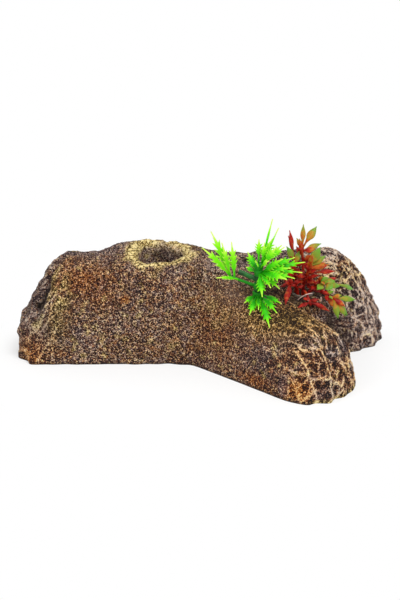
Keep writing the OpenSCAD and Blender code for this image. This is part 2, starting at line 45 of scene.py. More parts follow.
# The log's sizes in millimetres, turns in degrees and shares, with the values of the part's source.
KNOT = (-25.0, 25.0)
KNOT_R = 13.5
RIM_W = 4.5
RIM_R = KNOT_R + RIM_W
RIM_H = 58.0
RIM_FLANK = 24.0
RIM_LUMP = 0.8
RIM_TILT = 0.07
RIM_HIGH_TURN = 120.0
RIPPLES = 7
RIPPLE_SHARE = 0.4
RIM_DROP = 3.0
EDGE_FADE = 0.35
THROAT_DEPTH = 14.0
THROAT_WALL = 3.5
WALL = 5.0
ROOF = 7.0
BLEND = 5.5
SLANT_X = -109.0
SLANT_LOW = 22.0
SLANT_TOP = 60.0
SLANT_RUN = 29.0
CORNER_ROUND = 2.5
CRACK_TOP = (-82.0, 19.0)
CRACK_LOW = (-94.0, 4.0)
CRACK_DEPTH = 3.5
CRACK_HALF = 3.6
FURROW_PITCH = 14.0
BARK_DEPTH = 2.0
FURROW_SHARE = 0.3
FURROW_BEAT = 0.3
KNOB_SHARE = 0.75
END_REACH = 1.5
KNOB_H = 0.9
KNOB_PITCH = 17.0
KNOB_SKEW = 0.4
SIDE_START = 0.5
GROUND_BLEND = 7.0
LIMBS = (
    dict(start=(-93, 21), end=(21, 21), half=(27.5, 26.5), high=(57, 54.5), cap=(16, 30), square=3.0,
         wall=(3.0, 1.7)),
    dict(start=(11, 22), end=(71, 30.5), half=(27, 24), high=(54.5, 58.5), cap=(28, 37.5), square=2.2,
         wall=(1.8, 1.5)),
    dict(start=(9, 16), end=(58, -29), half=(27, 25.5), high=(54.5, 36), cap=(28, 26), square=2.3,
         wall=(2.4, 1.6)),
    dict(start=(30, 9), end=(57, 4), half=(20, 17), high=(51.5, 40), cap=(20, 19), square=2.2,
         wall=(2.4, 1.6)),
)

# How finely the casting is drawn: rays round the knot hole, and rows up the bark, down the throat and
# inside. Each ray is first drawn in FINE steps that crowd towards the foot, and FLAT_WEIGHT gives steep
# bark more rows.
RAYS = 760
BARK_ROWS = 104
THROAT_ROWS = 8
LINING_ROWS = 18
FINE = 240
FOOT_CROWD = 1.8
FLAT_WEIGHT = 0.6
FOOT_SEARCH = (5.0, 180.0)
HALVINGS = 30
ROUND_STEPS = 1441

# The plants' sizes, in millimetres and shares, with the values of the part's source.
GREEN_AT = (30.5, -13.0)
RED_AT = (57.0, 5.0)
SOCKET_DEPTH = 3.0
GREEN_FOOT_R = 5.0
RED_FOOT_R = 6.5
GROUND_W = 3.0
FIT = 0.15
FOOT_T = 2.0
STEM_R = 1.3
SHOULDER = 0.4
FRONT_AT = 1.6
LEFT_AT = 6.6
CROWN_AT = 14.6
COLLAR_H = 3.6
COLLAR_T = 0.9
LEFT_ARM = (-15.5, 4.0, 4.0)
ARM_R = 0.8
GREEN_LEAF_W = 9.0
RED_LEAF_W = 4.8
LEAF_T = 0.9
LEAF_FACES = (0.0, -0.7, 0.7)
STALK = 0.2
TOP_STALK = 0.42
STALK_HALF = 0.6
TIP_SHARE = 0.97
SWELL_SPAN = (0.12, 0.98)
SWELL_POWER = 0.75
ARCH = 0.35
EDGE_THIN = 0.4
FOLD = 0.22
BLADE_SHARE = 0.3
SPRIG_RING = 4.0
SPRIG_R = 0.95
SPRIG_RISE = 9.0
# Green leaves: tip from the collar's middle, share of the full width, and any share along the arm.
FRONT_LEAVES = (
    ((-8, -8, -2), 0.6), ((-5.5, -15.5, -6), 0.75), ((5.5, -20.5, -11.5), 0.85), ((12.5, -6.5, -3), 0.6),
    ((9.5, -17.5, -4), 0.7), ((-0.5, -15, -3), 0.45),
)
LEFT_LEAVES = (
    ((-26.5, 9, 29), 0.85, 1), ((-20.5, 3, 24.5), 0.6, 1), ((-31.5, 0.5, 22.5), 0.75, 1),
    ((-15, 7, 23.5), 0.75, 0.85), ((-23.5, -2, 5.5), 0.4, 0.7),
)
CROWN_LEAVES = (
    ((-6, 7, 9.5), 0.85), ((-7, 3, 2), 0.5), ((13, -4, 9.5), 0.85), ((26, 4, 4.5), 0.7),
    ((24, -3, 1), 0.5), ((17.5, -5, 4.5), 0.7), ((14.5, -16, 2), 1.1), ((11, -12, -5), 0.75),
    ((1.5, -14, -9), 0.85),
)
TOP_LEAVES = (
    ((0, 4, 14.5), 0.75), ((7.5, 6, 14), 1), ((3, 1.5, 13.5), 0.6), ((7.5, 8, 25), 0.18),
    ((10.5, 1.5, 22), 0.14), ((13, 8, 9.5), 0.7), ((9, -4, 12.5), 0.85),
)
# Red sprigs: angle of the hole in the foot (None is the middle), end of the stem, and leaves as share
# along the stem, tip, share of the full width and, drawn here alone, how green the leaf is. The tall
# sprig's two end leaves are a little slimmer than in the source.
RED_SPRIGS = {
    "red_sprig_left": (165, (-6, 1, 23.5), (
        (0.94, (-8.5, 3, 37), 0.5, 0), (0.94, (-9.5, -2, 35.5), 0.42, 0),
        (0.8, (-10.5, -4.5, 30), 0.8, 0.8), (0.75, (-2.5, 4, 24), 0.65, 0.75),
        (0.6, (-12.5, 2, 20.5), 0.5, 0.45), (0.5, (-9.5, -4, 13), 0.55, 0),
        (0.4, (-10.5, 3, 15.5), 0.5, 0.1),
    )),
    "red_sprig_tall": (80, (-1, 5, 27.5), (
        (0.94, (-0.5, 6, 39.5), 0.6, 0.4), (0.94, (7.5, 9.5, 37), 0.9, 0.5),
        (0.93, (-4, 6.5, 31), 0.55, 0.3), (0.9, (6.5, 3, 25.5), 0.75, 0.15),
        (0.9, (10.5, 9.5, 26.5), 0.65, 0.6), (0.7, (-6.5, 6, 16), 0.55, 0),
        (0.65, (3.5, 8, 17.5), 0.6, 0.05), (0.8, (-4, 8, 25.5), 0.6, 0.1),
    )),
    "red_sprig_middle": (None, (3.5, -4, 18.5), (
        (0.94, (8.5, -4, 29.5), 1, 0.8), (0.94, (12, -2, 23.5), 0.75, 0.65),
        (0.95, (10.5, -2.5, 17), 0.65, 0.1), (0.8, (-1, -7, 22), 0.55, 0),
        (0.7, (18, 2, 12.5), 0.65, 0.05), (0.6, (-4, -8, 13.5), 0.65, 0),
        (0.75, (14.5, 0, 17.5), 0.6, 0.15), (0.9, (3.5, -11.5, 28.5), 0.55, 0.25),
        (0.5, (8, -9, 14.5), 0.6, 0),
    )),
    "red_sprig_right": (-5, (13.5, -3, 6.5), (
        (0.94, (16, -7, 5), 1, 0.95), (0.9, (7, -10, 6), 0.75, 0.9), (0.94, (11, -5, 12), 0.9, 0.9),
        (0.94, (21, 0, 4), 0.75, 0.85), (0.94, (30.5, 11.5, -2.5), 0.65, 0.9),
        (0.8, (19.5, 4.5, 7.5), 0.6, 0.05), (0.7, (11, -9, 3.5), 0.5, 0),
    )),
    "red_sprig_low": (-50, (19, -7, -2), (
        (0.94, (25.5, -6, -11.5), 0.6, 0.8), (0.94, (19.5, -11.5, -11), 0.7, 0.75),
        (0.94, (30, -3, -3), 0.7, 0.85), (0.8, (12.5, -13, 0.5), 0.55, 0),
        (0.9, (23.5, -9.5, -4.5), 0.6, 0.1), (0.9, (21.5, -7, 1.5), 0.55, 0.4),
        (0.6, (14.5, -8, 2.5), 0.5, 0),
    )),
    "red_sprig_front": (-95, (3.5, -13.5, -2), (
        (0.94, (-4.5, -20.5, -0.5), 0.5, 0), (0.94, (12, -13, -3.5), 0.55, 0), (0.9, (8, -12, 1), 0.5, 0),
        (0.85, (-1, -15, 2.5), 0.5, 0), (0.94, (14.5, -11.5, -6.5), 0.5, 0.05),
    )),
    "red_sprig_droop": (-140, (-9.5, -9, 9), (
        (0.94, (-11.5, -22, 2), 0.62, 0), (0.9, (-13.5, -8, 7), 0.45, 0),
        (0.8, (-5.5, -11.5, 8.5), 0.55, 0), (0.7, (-3, -9.5, 10), 0.55, 0.05),
        (0.95, (-7, -9, 12.5), 0.5, 0.1), (0.9, (-8.5, -13, 3), 0.45, 0),
    )),
}

# What the plants get here alone: finer teeth on slimmer green blades, red blades on longer stalks, pale
# edges, tapered stems, and how many points each form is drawn with.
LEAF_TEETH = 4
LEAF_SLIM = 0.8
TOOTHED = 0.68
BODY = 0.3
END_LOBE = 0.45
LEAN = 0.95
RINGS_PER_TOOTH = 8
PLAIN_RINGS = 15
ACROSS = 9
STALK_STEP = 0.6
NARROW = 1 / 3
POINT = 1 / 12
EDGE_TAPER = 0.7
FOLD_POWER = 1.5
TOOTH_PALE = 0.8
EDGE_PALE = 0.5
EDGE_PALE_FROM = 0.3
RED_STALK = 0.34
GREEN_BROAD = 1.15
BLADE_MOST = 8.5
COLLAR_SOFT = 0.3
COLLAR_STEPS = 28
COLLAR_TONE = 0.6
ARM_PAST = 1.05
ARM_RINGS = 8
ARM_TAPER = (1.15, 0.9)
SPRIG_RINGS = 14
SPRIG_TAPER = 0.7
TUBE_SIDES = 10
ASIDE = (0.13, 1.0, 0.07)
# More leaves, also drawn here alone because they cross their neighbours, which the part's solids may not
# do. TOP_FILL and CROWN_FILL close the green crown. THICKET fills the red plant, in the terms of its
# sprigs. BUSH small leaves go round each red stem in a spiral, but not round the bare ones.
TOP_FILL = (((-2.5, -8.5, 6), 0.55), ((5, -8.5, 6.5), 0.6), ((14, 1, 11), 0.6))
CROWN_FILL = (((20, 1, 8.5), 0.75), ((19.5, -8, -0.5), 0.6), ((6, -14.5, -3.5), 0.5))
THICKET = {
    "red_sprig_tall": ((0.8, (-2.5, 4.5, 31.5), 0.6, 0.1), (0.72, (4.5, 1.5, 22.5), 0.7, 0.15)),
    "red_sprig_middle": (
        (0.85, (12, -4, 20), 0.85, 0.22), (0.8, (3, -4.5, 21.5), 0.75, 0.15),
        (0.4, (-4, -4.5, 10), 0.65, 0), (0.55, (5.5, -5, 8), 0.7, 0.05),
    ),
    "red_sprig_right": (
        (0.9, (18, -1.5, 8), 0.9, 0.8), (0.75, (10, -4, 12), 0.7, 0.2), (0.6, (4, -6.5, 4.5), 0.6, 0),
    ),
    "red_sprig_droop": ((0.75, (-11.5, -7, 8.5), 0.65, 0),),
    "red_sprig_low": ((0.75, (19, -8.5, -6.5), 0.75, 0.2), (0.94, (24, -9.5, -10.5), 0.65, 0.55)),
    "red_sprig_left": ((0.65, (-7.5, -2, 19.5), 0.7, 0.1), (0.35, (-8, -3, 5), 0.6, 0)),
}
BUSH = 8
BARE = ("red_sprig_front",)
BUSH_SPAN = (0.35, 0.92)
BUSH_LEAF = 5.5
BUSH_SHORT = 0.3
BUSH_RISE = 0.45
BUSH_WIDTH = 0.55
BUSH_GREEN_X = (4, 20)
GOLDEN = 2.4
# Strings of glue at the red plant's foot: start, middle and end from the plant's ground, and radius.
GLUE_STRINGS = (
    ((-4.0, -9.5, -1.0), (-0.5, -11.5, 4.2), (4.5, -9.0, 3.4), 0.34),
    ((0.6, -11.0, 1.2), (1.7, -11.8, 0.6), (2.8, -12.0, -0.8), 0.3),
    ((9.2, -12.0, 2.4), (9.3, -12.4, 1.4), (9.4, -12.4, 0.0), 0.3),
)
STRING_RINGS = 10
STRING_SIDES = 6


def lerp(a, b, t):
    """The value a share t of the way from a to b."""
    return a + (b - a) * t


def smooth(t):
    """A share held between 0 and 1 and eased at both ends: 3 t squared less 2 t cubed."""
    t = np.clip(t, 0, 1)
    return t * t * (3 - 2 * t)


def ramp(value, start, full):
    """An eased share: 0 on the near side of start, 1 past full, whichever of the two is higher."""
    return smooth((value - start) / (full - start))


def unit(v):
    """Vectors divided by their lengths."""
    v = np.asarray(v, float)
    return v / np.linalg.norm(v, axis=-1, keepdims=True)


ODD = (374761393, 668265263, 1440670441, 1274126177)
WORD = 0xFFFFFFFF
HALF_WORD = 0xFFFF


def scatter(i, j, k, seed):
    """Repeatable numbers from 0 to 1 at whole-number places: the place's three counts and a seed, mixed
    by odd multipliers and by shifted copies of the result."""
    n = (i * ODD[0] + j * ODD[1] + k * ODD[2] + seed * ODD[3]) & WORD
    n = ((n ^ (n >> 13)) * ODD[3]) & WORD
    return ((n ^ (n >> 16)) & HALF_WORD) / HALF_WORD


ASKEW = np.array([[0.80, 0.48, 0.36], [-0.60, 0.64, 0.48], [0.0, -0.60, 0.80]])


def lumps(points, size, seed):
    """Soft lumps from 0 to 1, a size across: scattered numbers at a lattice of that size, set askew to
    the log, eased between corners."""
    at = points @ ASKEW / size
    low = np.floor(at).astype(np.int64)
    ease = smooth(at - low)
    total = 0
    for corner in np.ndindex(2, 2, 2):
        share = np.prod(np.where(corner, ease, 1 - ease), axis=-1)
        i, j, k = np.moveaxis(low + np.array(corner), -1, 0)
        total = total + share * scatter(i, j, k, seed)
    return total


def flecks(points, size, seed, start, full):
    """Patches with eased edges, where soft lumps pass from one level to another."""
    return ramp(lumps(points, size, seed), start, full)


def spot(points, at, reach):
    """1 at a place and fading to nothing round it, over a reach in each axis."""
    return np.exp(-(((points - np.array(at)) / np.array(reach)) ** 2).sum(-1))


def spots(points, table):
    """Each spot of a table of strengths, places and reaches, one after the other."""
    return np.stack([most * spot(points, at, reach) for most, at, reach in table])


def cell_walls(u, v, round_foot, wide, tall, half, seed):
    """Raised walls between cells over the bark: 1 on the line midway between the two nearest seeds, 0
    beyond half a wall's width. Each cell of a lattice, wide by tall, that closes round the log holds one
    scattered seed. The line's distance is the difference of the seeds' squared distances over twice the
    step between them, back in millimetres."""
    around = round(round_foot / wide)
    step_u = around / round_foot
    gu, gv = u * step_u, v / tall
    iu, iv = np.floor(gu).astype(np.int64), np.floor(gv).astype(np.int64)
    seeds = []
    for du, dv in np.ndindex(3, 3):
        cu, cv = iu + du - 1, iv + dv - 1
        lap = cu % around
        seeds.append(np.stack([cu + scatter(lap, cv, 1, seed) - gu, cv + scatter(lap, cv, 2, seed) - gv]))
    seeds = np.stack(seeds)
    square = (seeds**2).sum(1)
    first, second = np.argsort(square, axis=0)[:2]
    step = np.subtract(*(np.take_along_axis(seeds, i[None, None], 0)[0] for i in (second, first)))
    gain = np.subtract(*(np.take_along_axis(square, i[None], 0)[0] for i in (second, first)))
    slope = np.hypot(step[0] * step_u, step[1] / tall)
    return 1 - smooth(gain / (2 * np.maximum(slope, TINY)) / half)


def limb_at(limb, x, y, inset):
    """How a place in plan lies on one limb: 0 on its centre line and 1 at its foot, as the root of the
    overrun and the sideways share raised to the limb's squareness, with the height, bulge, fullness and
    overrun there."""
    (sx, sy), (ex, ey) = limb["start"], limb["end"]
    ax, ay = ex - sx, ey - sy
    run = math.hypot(ax, ay)
    ahead = ((x - sx) * ax + (y - sy) * ay) / run
    aside = (ax * (y - sy) - ay * (x - sx)) / run
    t = np.clip(ahead / run, 0, 1)
    cap0, cap1 = limb["cap"]
    over = np.where(ahead < 0, -ahead / (cap0 - inset), np.maximum(0, ahead - run) / (cap1 - inset))
    half = lerp(*limb["half"], t) - inset
    n = limb["square"]
    bulge, full = limb["wall"]
    flat = np.ones_like(t)
    place = (over**n + (np.abs(aside) / half) ** n) ** (1 / n)
    return np.stack([place, lerp(*limb["high"], t), bulge * flat, full * flat, over])


def log_at(x, y, inset=0.0):
    """The limbs blended into one log in the same terms: each pulls by the exponential of its squared
    place."""
    near = np.stack([limb_at(limb, x, y, inset) for limb in LIMBS])
    pull = np.exp(-BLEND * near[:, 0] ** 2)
    total = pull.sum(0)
    shared = (pull[:, None] * near).sum(0) / total
    shared[0] = np.sqrt(np.maximum(0, -np.log(total) / BLEND))
    return shared


def dome(at, high):
    """Height of a dome on the log's plan: full on the centre line, falling to nothing at the foot."""
    return high * np.maximum(0, 1 - at[0] ** at[2]) ** (1 / at[3])


def capped(at, x):
    """The limbs' height cut by the slanted end, with the edge between them rounded."""
    slant = SLANT_LOW + (SLANT_TOP - SLANT_LOW) * (x - SLANT_X) / SLANT_RUN
    return -CORNER_ROUND * np.log(np.exp(-at[1] / CORNER_ROUND) + np.exp(-slant / CORNER_ROUND))


def crack_gap(x, y):
    """Distance in plan from the line of the crack down the slanted end."""
    lx, ly = CRACK_LOW[0] - CRACK_TOP[0], CRACK_LOW[1] - CRACK_TOP[1]
    t = np.clip(((x - CRACK_TOP[0]) * lx + (y - CRACK_TOP[1]) * ly) / (lx * lx + ly * ly), 0, 1)
    return np.hypot(x - CRACK_TOP[0] - lx * t, y - CRACK_TOP[1] - ly * t)


def body_z(x, y):
    """The log's bare height: its dome under the slanted end, less the crack."""
    at = log_at(x, y)
    crack = CRACK_DEPTH * np.exp(-((crack_gap(x, y) / CRACK_HALF) ** 2))
    return dome(at, capped(at, x)) - crack * smooth((1 - at[0]) / EDGE_FADE)


GREEN_Z = float(body_z(np.array(GREEN_AT[0]), np.array(GREEN_AT[1])))
RED_Z = float(body_z(np.array(RED_AT[0]), np.array(RED_AT[1])))
GROUNDS = ((GREEN_AT, GREEN_Z, GREEN_FOOT_R + GROUND_W), (RED_AT, RED_Z, RED_FOOT_R + GROUND_W))


def levelled(z, x, y, depth):
    """Heights eased to the level ground round each plant, lowered by a depth."""
    for (gx, gy), gz, reach in GROUNDS:
        near = smooth((reach + GROUND_BLEND - np.hypot(x - gx, y - gy)) / GROUND_BLEND)
        z = lerp(z, gz - depth, near)
    return z


def outer_z(x, y):
    """The bark's height: the log with its level ground, eased to the knot hole's lumpy, tilted rim."""
    at = log_at(x, y)
    far = np.hypot(x - KNOT[0], y - KNOT[1])
    turn = np.arctan2(y - KNOT[1], x - KNOT[0])
    ripple = RIPPLE_SHARE * np.sin(RIPPLES * turn)
    lump = RIM_LUMP * (np.cos(2 * (turn - math.radians(RIM_HIGH_TURN))) + ripple)
    inside = np.maximum(0, (RIM_R - far) / RIM_W)
    crest = RIM_H + lump + RIM_TILT * (y - KNOT[1]) - RIM_DROP * inside**2
    near = smooth((RIM_R + RIM_FLANK - far) / RIM_FLANK) * smooth((1 - at[0]) / EDGE_FADE)
    return lerp(levelled(body_z(x, y), x, y, 0.0), crest, near)


def inner_z(x, y):
    """The hollow's ceiling: the same log drawn in by the wall and lowered by the roof."""
    at = log_at(x, y, WALL)
    ceiling = dome(at, capped(at, x) - ROOF)
    return np.minimum(ceiling, levelled(ceiling, x, y, ROOF))


def knob(x, y, z):
    """The bark's knobs, from -1 to 1: one wave along the log times another across it, both slanting with
    height."""
    wave = 2 * math.pi / KNOB_PITCH
    return np.sin(wave * (x + z)) * np.sin(wave * (y + KNOB_SKEW * x - z))


def foot_r(turn, inset):
    """Distance from the knot hole's middle to the log's foot on each ray, found by halving."""
    low, high = (np.full(turn.shape, end) for end in FOOT_SEARCH)
    for _ in range(HALVINGS):
        mid = (low + high) / 2
        inside = log_at(KNOT[0] + mid * np.cos(turn), KNOT[1] + mid * np.sin(turn), inset)[0] < 1
        low, high = np.where(inside, mid, low), np.where(inside, high, mid)
    return low


def ray_turns(count):
    """Directions of the rays, at even steps of the foot's running length, and that length."""
    fine = np.linspace(0, 2 * math.pi, ROUND_STEPS)
    reach = foot_r(fine, 0.0)
    x, y = reach * np.cos(fine), reach * np.sin(fine)
    run = np.concatenate([[0], np.cumsum(np.hypot(np.diff(x), np.diff(y)))])
    return np.interp(np.arange(count) / count * run[-1], run, fine), run[-1]


def even_rows(r, z, rows, weight):
    """Each ray's line of r and z set out again at even steps of its length, with distances in r counted
    by a weight. The rays' running lengths are put end to end, so that one interpolation serves them
    all."""
    run = np.zeros_like(r)
    run[:, 1:] = np.cumsum(np.hypot(weight * np.diff(r), np.diff(z)), axis=1)
    apart = np.arange(len(r))[:, None] * 2 * run.max()
    want = run[:, -1:] * np.linspace(0, 1, rows) + apart
    known = (run + apart).ravel()
    return np.interp(want, known, r.ravel()), np.interp(want, known, z.ravel())


def casting_grid():
    """The casting as a grid of rays by rows, closed both ways: up the bark from the foot to the rim, down
    the throat, under its collar, and down the lining to the foot again. Furrows are a cosine round the
    foot, deepest at the roots, and cut the sides; knobs push the sides out and the top up. Returns
    points, running length round the foot, running length up the bark, the whole length round the foot,
    and how far each ray runs into a rounded end."""
    turn, round_foot = ray_turns(RAYS)
    c, s = np.cos(turn)[:, None], np.sin(turn)[:, None]
    foot, inner_foot = foot_r(turn, 0.0)[:, None], foot_r(turn, WALL)[:, None]
    over = log_at(KNOT[0] + foot * c, KNOT[1] + foot * s)[4]
    ends = smooth(over * END_REACH)
    furrows = round(round_foot / FURROW_PITCH)
    phase = (2 * math.pi * furrows * np.arange(RAYS) / RAYS)[:, None]
    swing = 1 - FURROW_BEAT + FURROW_BEAT * np.cos(FURROW_BEAT * phase)
    furrow = BARK_DEPTH * lerp(FURROW_SHARE, 1, ends) * (0.5 + 0.5 * np.cos(phase)) * swing
    steps = np.linspace(0, 1, FINE)[None]
    r = lerp(foot, KNOT_R, steps**FOOT_CROWD)
    x, y = KNOT[0] + r * c, KNOT[1] + r * s
    z = outer_z(x, y)
    z[:, 0] = 0
    side = smooth((r / foot - SIDE_START) / EDGE_FADE)
    bump = KNOB_H * lerp(KNOB_SHARE, 1, ends) * knob(x, y, z) * smooth((r - RIM_R) / RIM_FLANK)
    bark_r, bark_z = even_rows(r + (bump - furrow) * side, z + bump * (1 - side), BARK_ROWS, FLAT_WEIGHT)
    throat_z = RIM_H - THROAT_DEPTH
    neck_z = lerp(bark_z[:, -1:], throat_z, np.linspace(0, 1, THROAT_ROWS + 1)[None, 1:])
    neck_r = np.full_like(neck_z, KNOT_R)
    collar_r = KNOT_R + THROAT_WALL
    r = lerp(inner_foot, collar_r, (1 - steps) ** FOOT_CROWD)
    z = inner_z(KNOT[0] + r * c, KNOT[1] + r * s)
    z[:, -1] = 0
    r = np.hstack([np.full((RAYS, 1), collar_r), r])
    z = np.hstack([np.full((RAYS, 1), throat_z), z])
    in_r, in_z = even_rows(r, z, LINING_ROWS, 1.0)
    r, z = np.hstack([bark_r, neck_r, in_r]), np.hstack([bark_z, neck_z, in_z])
    points = np.stack([KNOT[0] + r * c, KNOT[1] + r * s, z], -1)
    u = np.broadcast_to((round_foot * np.arange(RAYS) / RAYS)[:, None], r.shape)
    v = np.zeros_like(r)
    v[:, 1:] = np.cumsum(np.linalg.norm(np.diff(points, axis=1), axis=-1), axis=1)
    return points, u, v, round_foot, np.broadcast_to(over, r.shape)


def grid_normals(points):
    """Unit normals of a grid that is closed both ways: across the steps between each point's
    neighbours."""
    along = np.roll(points, -1, 0) - np.roll(points, 1, 0)
    up = np.roll(points, -1, 1) - np.roll(points, 1, 1)
    n = np.cross(along, up)
    return n / np.maximum(np.linalg.norm(n, axis=-1, keepdims=True), TINY)


# Zones of the log, along the axis that ends the name, in millimetres: where each starts and is in full.
BACK_Y = (2, 16)
BACK_X = (42, 72)
FRONT_X = (30, 54)
FRONT_Y = (10, -8)
LEFT_X = (-72, -90)
OUTER_X = (-86, -92)
OUTER_Z = (8, 22)
TOE_X = (54, 62)
FOOT_Z = (0, 5)
TOP_X = (4, -4)
TOP_Z = (44, 52)
BITE_Z = (RIM_H - 9, RIM_H - 3)
CREST_Z = (RIM_H - 5, RIM_H - 2)
NECK_Z = (RIM_H - 8, RIM_H - 3)
TOE_LINE_Z = (2.6, 1.0)
# The foot line is a painted contact shadow along the foot.
FOOT_LINE_Z = (2.0, 0.6)
RIGHT_TOP_X = (-5, 7)
RIGHT_TOP_Z = (50, 55)
LEFT_BACK_Y = (15, 23)
BACK_LOW_Z = (44, 28)
FRONT_LOW_Z = (36, 28)
GROOVE_X = (-76, -82)
CRACK_X = (-70, -80)
# How far a root's border strays, how rough the left end is beside the roots, and how near the level
# ground the relief starts and is in full.
STRAY = 22
LEFT_ROUGH = 0.5
LEVEL_FROM = -1.5
LEVEL_FULL = 3.5
# The rim's crust: reach past the rim, how much more at the front and over what depth, how ragged it is,
# and its soft edge.
CRUST_REACH = 3.0
CRUST_FRONT = 2.6
CRUST_TURN = 12
CRUST_RAGGED = 5
CRUST_EDGE = 3.5
# The slanted end's crack: half-width of its groove, of the dark paint in it, and the lip's distance,
# half-width and the share by which its paint fades across the crack, to a millimetre in x and in y.
GROOVE_HALF = 2.3
DARK_HALF = 0.9 * CRACK_HALF
LIP_GAP = 5.0
LIP_HALF = 1.6
LIP_FADE = (0.6, -0.5)
# A facet that was left smooth, and crevices, as places and reaches. A crevice is the middle of its spot;
# its dark paint is painted shade in it.
FACET = ((17.8, -5.5, 45.7), (13, 9, 7))
CREVICES = ((1, (24.3, 23.2, 54.6), (4.5, 5, 6)), (1, (-95.3, 5.4, 32.4), (3, 3, 3)))
CREVICE_CUT = (0.45, 0.7)
# Soft lumps: size in millimetres and seed, and for flecks the levels at which they start and are in full.
STRAY_LUMPS = (11.0, 81)
SWAY_LUMPS = (9.0, 3)
DRIFT_LUMPS = (5.0, 4)
COARSE_LUMPS = (7.0, 5)
SMALL_LUMPS = (3.5, 7)
GRIT_LUMPS = (1.7, 13)
RAGGED_LUMPS = (4.5, 21)
BITE_LUMPS = (4.5, 23)
WORN = (4.0, 71, 0.14, 0.47)
RUST_FLECKS = (8.0, 61, 0.52, 0.68)
GREY_FLECKS = (8.0, 61, 0.5, 0.36)
NECK_FLECKS = (4.0, 53, 0.35, 0.55)
END_FLECKS = (5.0, 43, 0.38, 0.62)
SADDLE_FLECKS = (6.0, 47, 0.35, 0.6)
LIP_FLECKS = (4.0, 49, 0.35, 0.55)
# Walls between cells: width and height of a cell, half-width of a wall and seed. Then how far the cells
# sway, and how high the walls of one kind stand beside another's.
LONG_CELLS = (7.5, 17.0, 1.35, 11)
SHORT_CELLS = (4.5, 7.0, 0.9, 12)
STREAK_CELLS = (15.0, 5.0, 1.2, 31)
SWAY = 7
DRIFT = 4
STREAK_SHARE = 0.55
SHORT_SHARE = 0.6
BACK_SHARE = 0.8
# Heights of the relief in millimetres, with the level that each pattern rises and falls from.
LIP_H = 1.1
GROOVE_D = 1.8
WALL_H = (0.4, 0.8)
WALL_MIDDLE = 0.4
COARSE_H = 0.3
SMALL_SHARE = 0.5
COARSE_MIDDLE = 0.75
GRIT_H = 1.1
FACET_SMOOTH = 0.75
CREVICE_D = 2.5
CRUST_H = 2.2
CRUST_LOW = 0.3
BITE = 3.0
BITE_MIDDLE = 0.45
TOP_SWELL = 0.7
SWELLS = (
    (2.8, (-24, 40.5, 57), (7, 5, 7)), (3.0, (-105, 6, 19), (7, 22, 7)), (2.2, (-51, 36, 54), (9, 9, 7)),
    (1.5, (-90, 32, 44), (6, 12, 6)), (-1.0, (-13, 40, 57), (5, 8, 7)),
)
# The painter's marks: strength, place and reach of each spot, then strengths on whole zones.
RUST_SPOTS = (
    (0.9, (-99, -4, 6), (9, 9, 12)), (0.75, (-70, 4, 48), (18, 10, 8)), (1.5, (51, -54, 7), (9, 8, 7)),
    (1.4, (-44.6, -1, 38.3), (2.6, 4, 2.2)), (0.6, (-58, -2, 40), (8, 8, 5)),
    (1.0, (30, -36, 5), (14, 8, 4)), (1.4, (46, -25, 38), (24, 14, 9)),
    (0.6, (14, -10, 22), (18, 14, 22)), (0.7, (-77, 15, 55.5), (5, 5, 4)),
)
OCHRE_SPOTS = ((0.35, (-84, -3, 24), (6, 9, 9)), (0.65, (43, -26, 37), (24, 13, 8)))
OCHRE_END = ((-82, 1, 42), (5, 10, 12))
OCHRE_SADDLE = ((12, -6, 30), (18, 12, 15))
GREY_SPOTS = ((1.2, (-66, 34, 56), (22, 12, 8)), (0.2, (15, 15, 52), (26, 16, 10)))
LOBE_TOP = ((45, -25, 38), (24, 14, 9))
# Painted shade on the plants' grounds and on the front lobe's top under the plants; the other spots are
# darker paint.
SHADE_AND_DARK_SPOTS = (
    (0.8, (*GREEN_AT, GREEN_Z), (8, 8, 6)), (1.0, (*RED_AT, RED_Z), (11, 11, 6)),
    (0.5, (14, -10, 22), (18, 14, 22)), (0.5, (-62, 3, 45), (22, 10, 9)),
    (0.45, (-70, 30, 56), (18, 10, 8)), (0.7, (32, -36, 8), (18, 12, 9)),
    (0.5, (0, -8, 6), (16, 10, 9)), (1.4, *LOBE_TOP),
)
BRIGHT_SADDLE = ((4, 12, 50), (18, 14, 8))
# Painted shade: the cleft between the back root and the front lobe, and the ground round the red plant's
# foot and between the plants.
SHADE_SPOTS = (
    (1.2, (75, 6, 20), (6, 9, 11)), (1.2, (81, 6, 9), (7, 9, 10)),
    (1.4, (52, -4.5, 40), (10, 7, 6)), (1.4, (39.5, -4.5, 44), (9, 7, 6)),
)
RUST_FRONT = 0.4
OCHRE_NECK = 0.3
OCHRE_TOE = 0.8
OCHRE_LIP = 0.7
SADDLE_SHARE = 0.4
GREY = dict(right_top=0.6, left_back=0.9, outer=0.6, throat=0.5, back_low=0.7, front_low=0.9)
# Near-black on zones: darker at the low outer end, dark paint in the crack, its groove and the pits, and
# painted shade in the crevices, a little in the throat, and as a contact shadow along the foot.
DARK_AND_SHADE = dict(outer=0.45, crack=0.7, groove=1.5, crevice=1.6, pits=0.4, throat=0.05, foot=1.1)
# Paler paint on the saddle, and in the throat as painted light against the shade there.
PALER_AND_LIT = dict(saddle=0.6, throat=0.7)
# How the painted crest tilts, the levels of the walls between which pits lie, the brush on the trunk's
# ridges, how much of the pale lines is taken off the front lobe's top as painted shade of the plants over
# it, and the back root's share of the dark.
CREST_TILT = 0.17
PIT_WALLS = (0.45, -0.05)
TRUNK_RIDGE = 0.25
LOBE_TOP_SHADE = 0.7
BACK_ROOT = 0.45


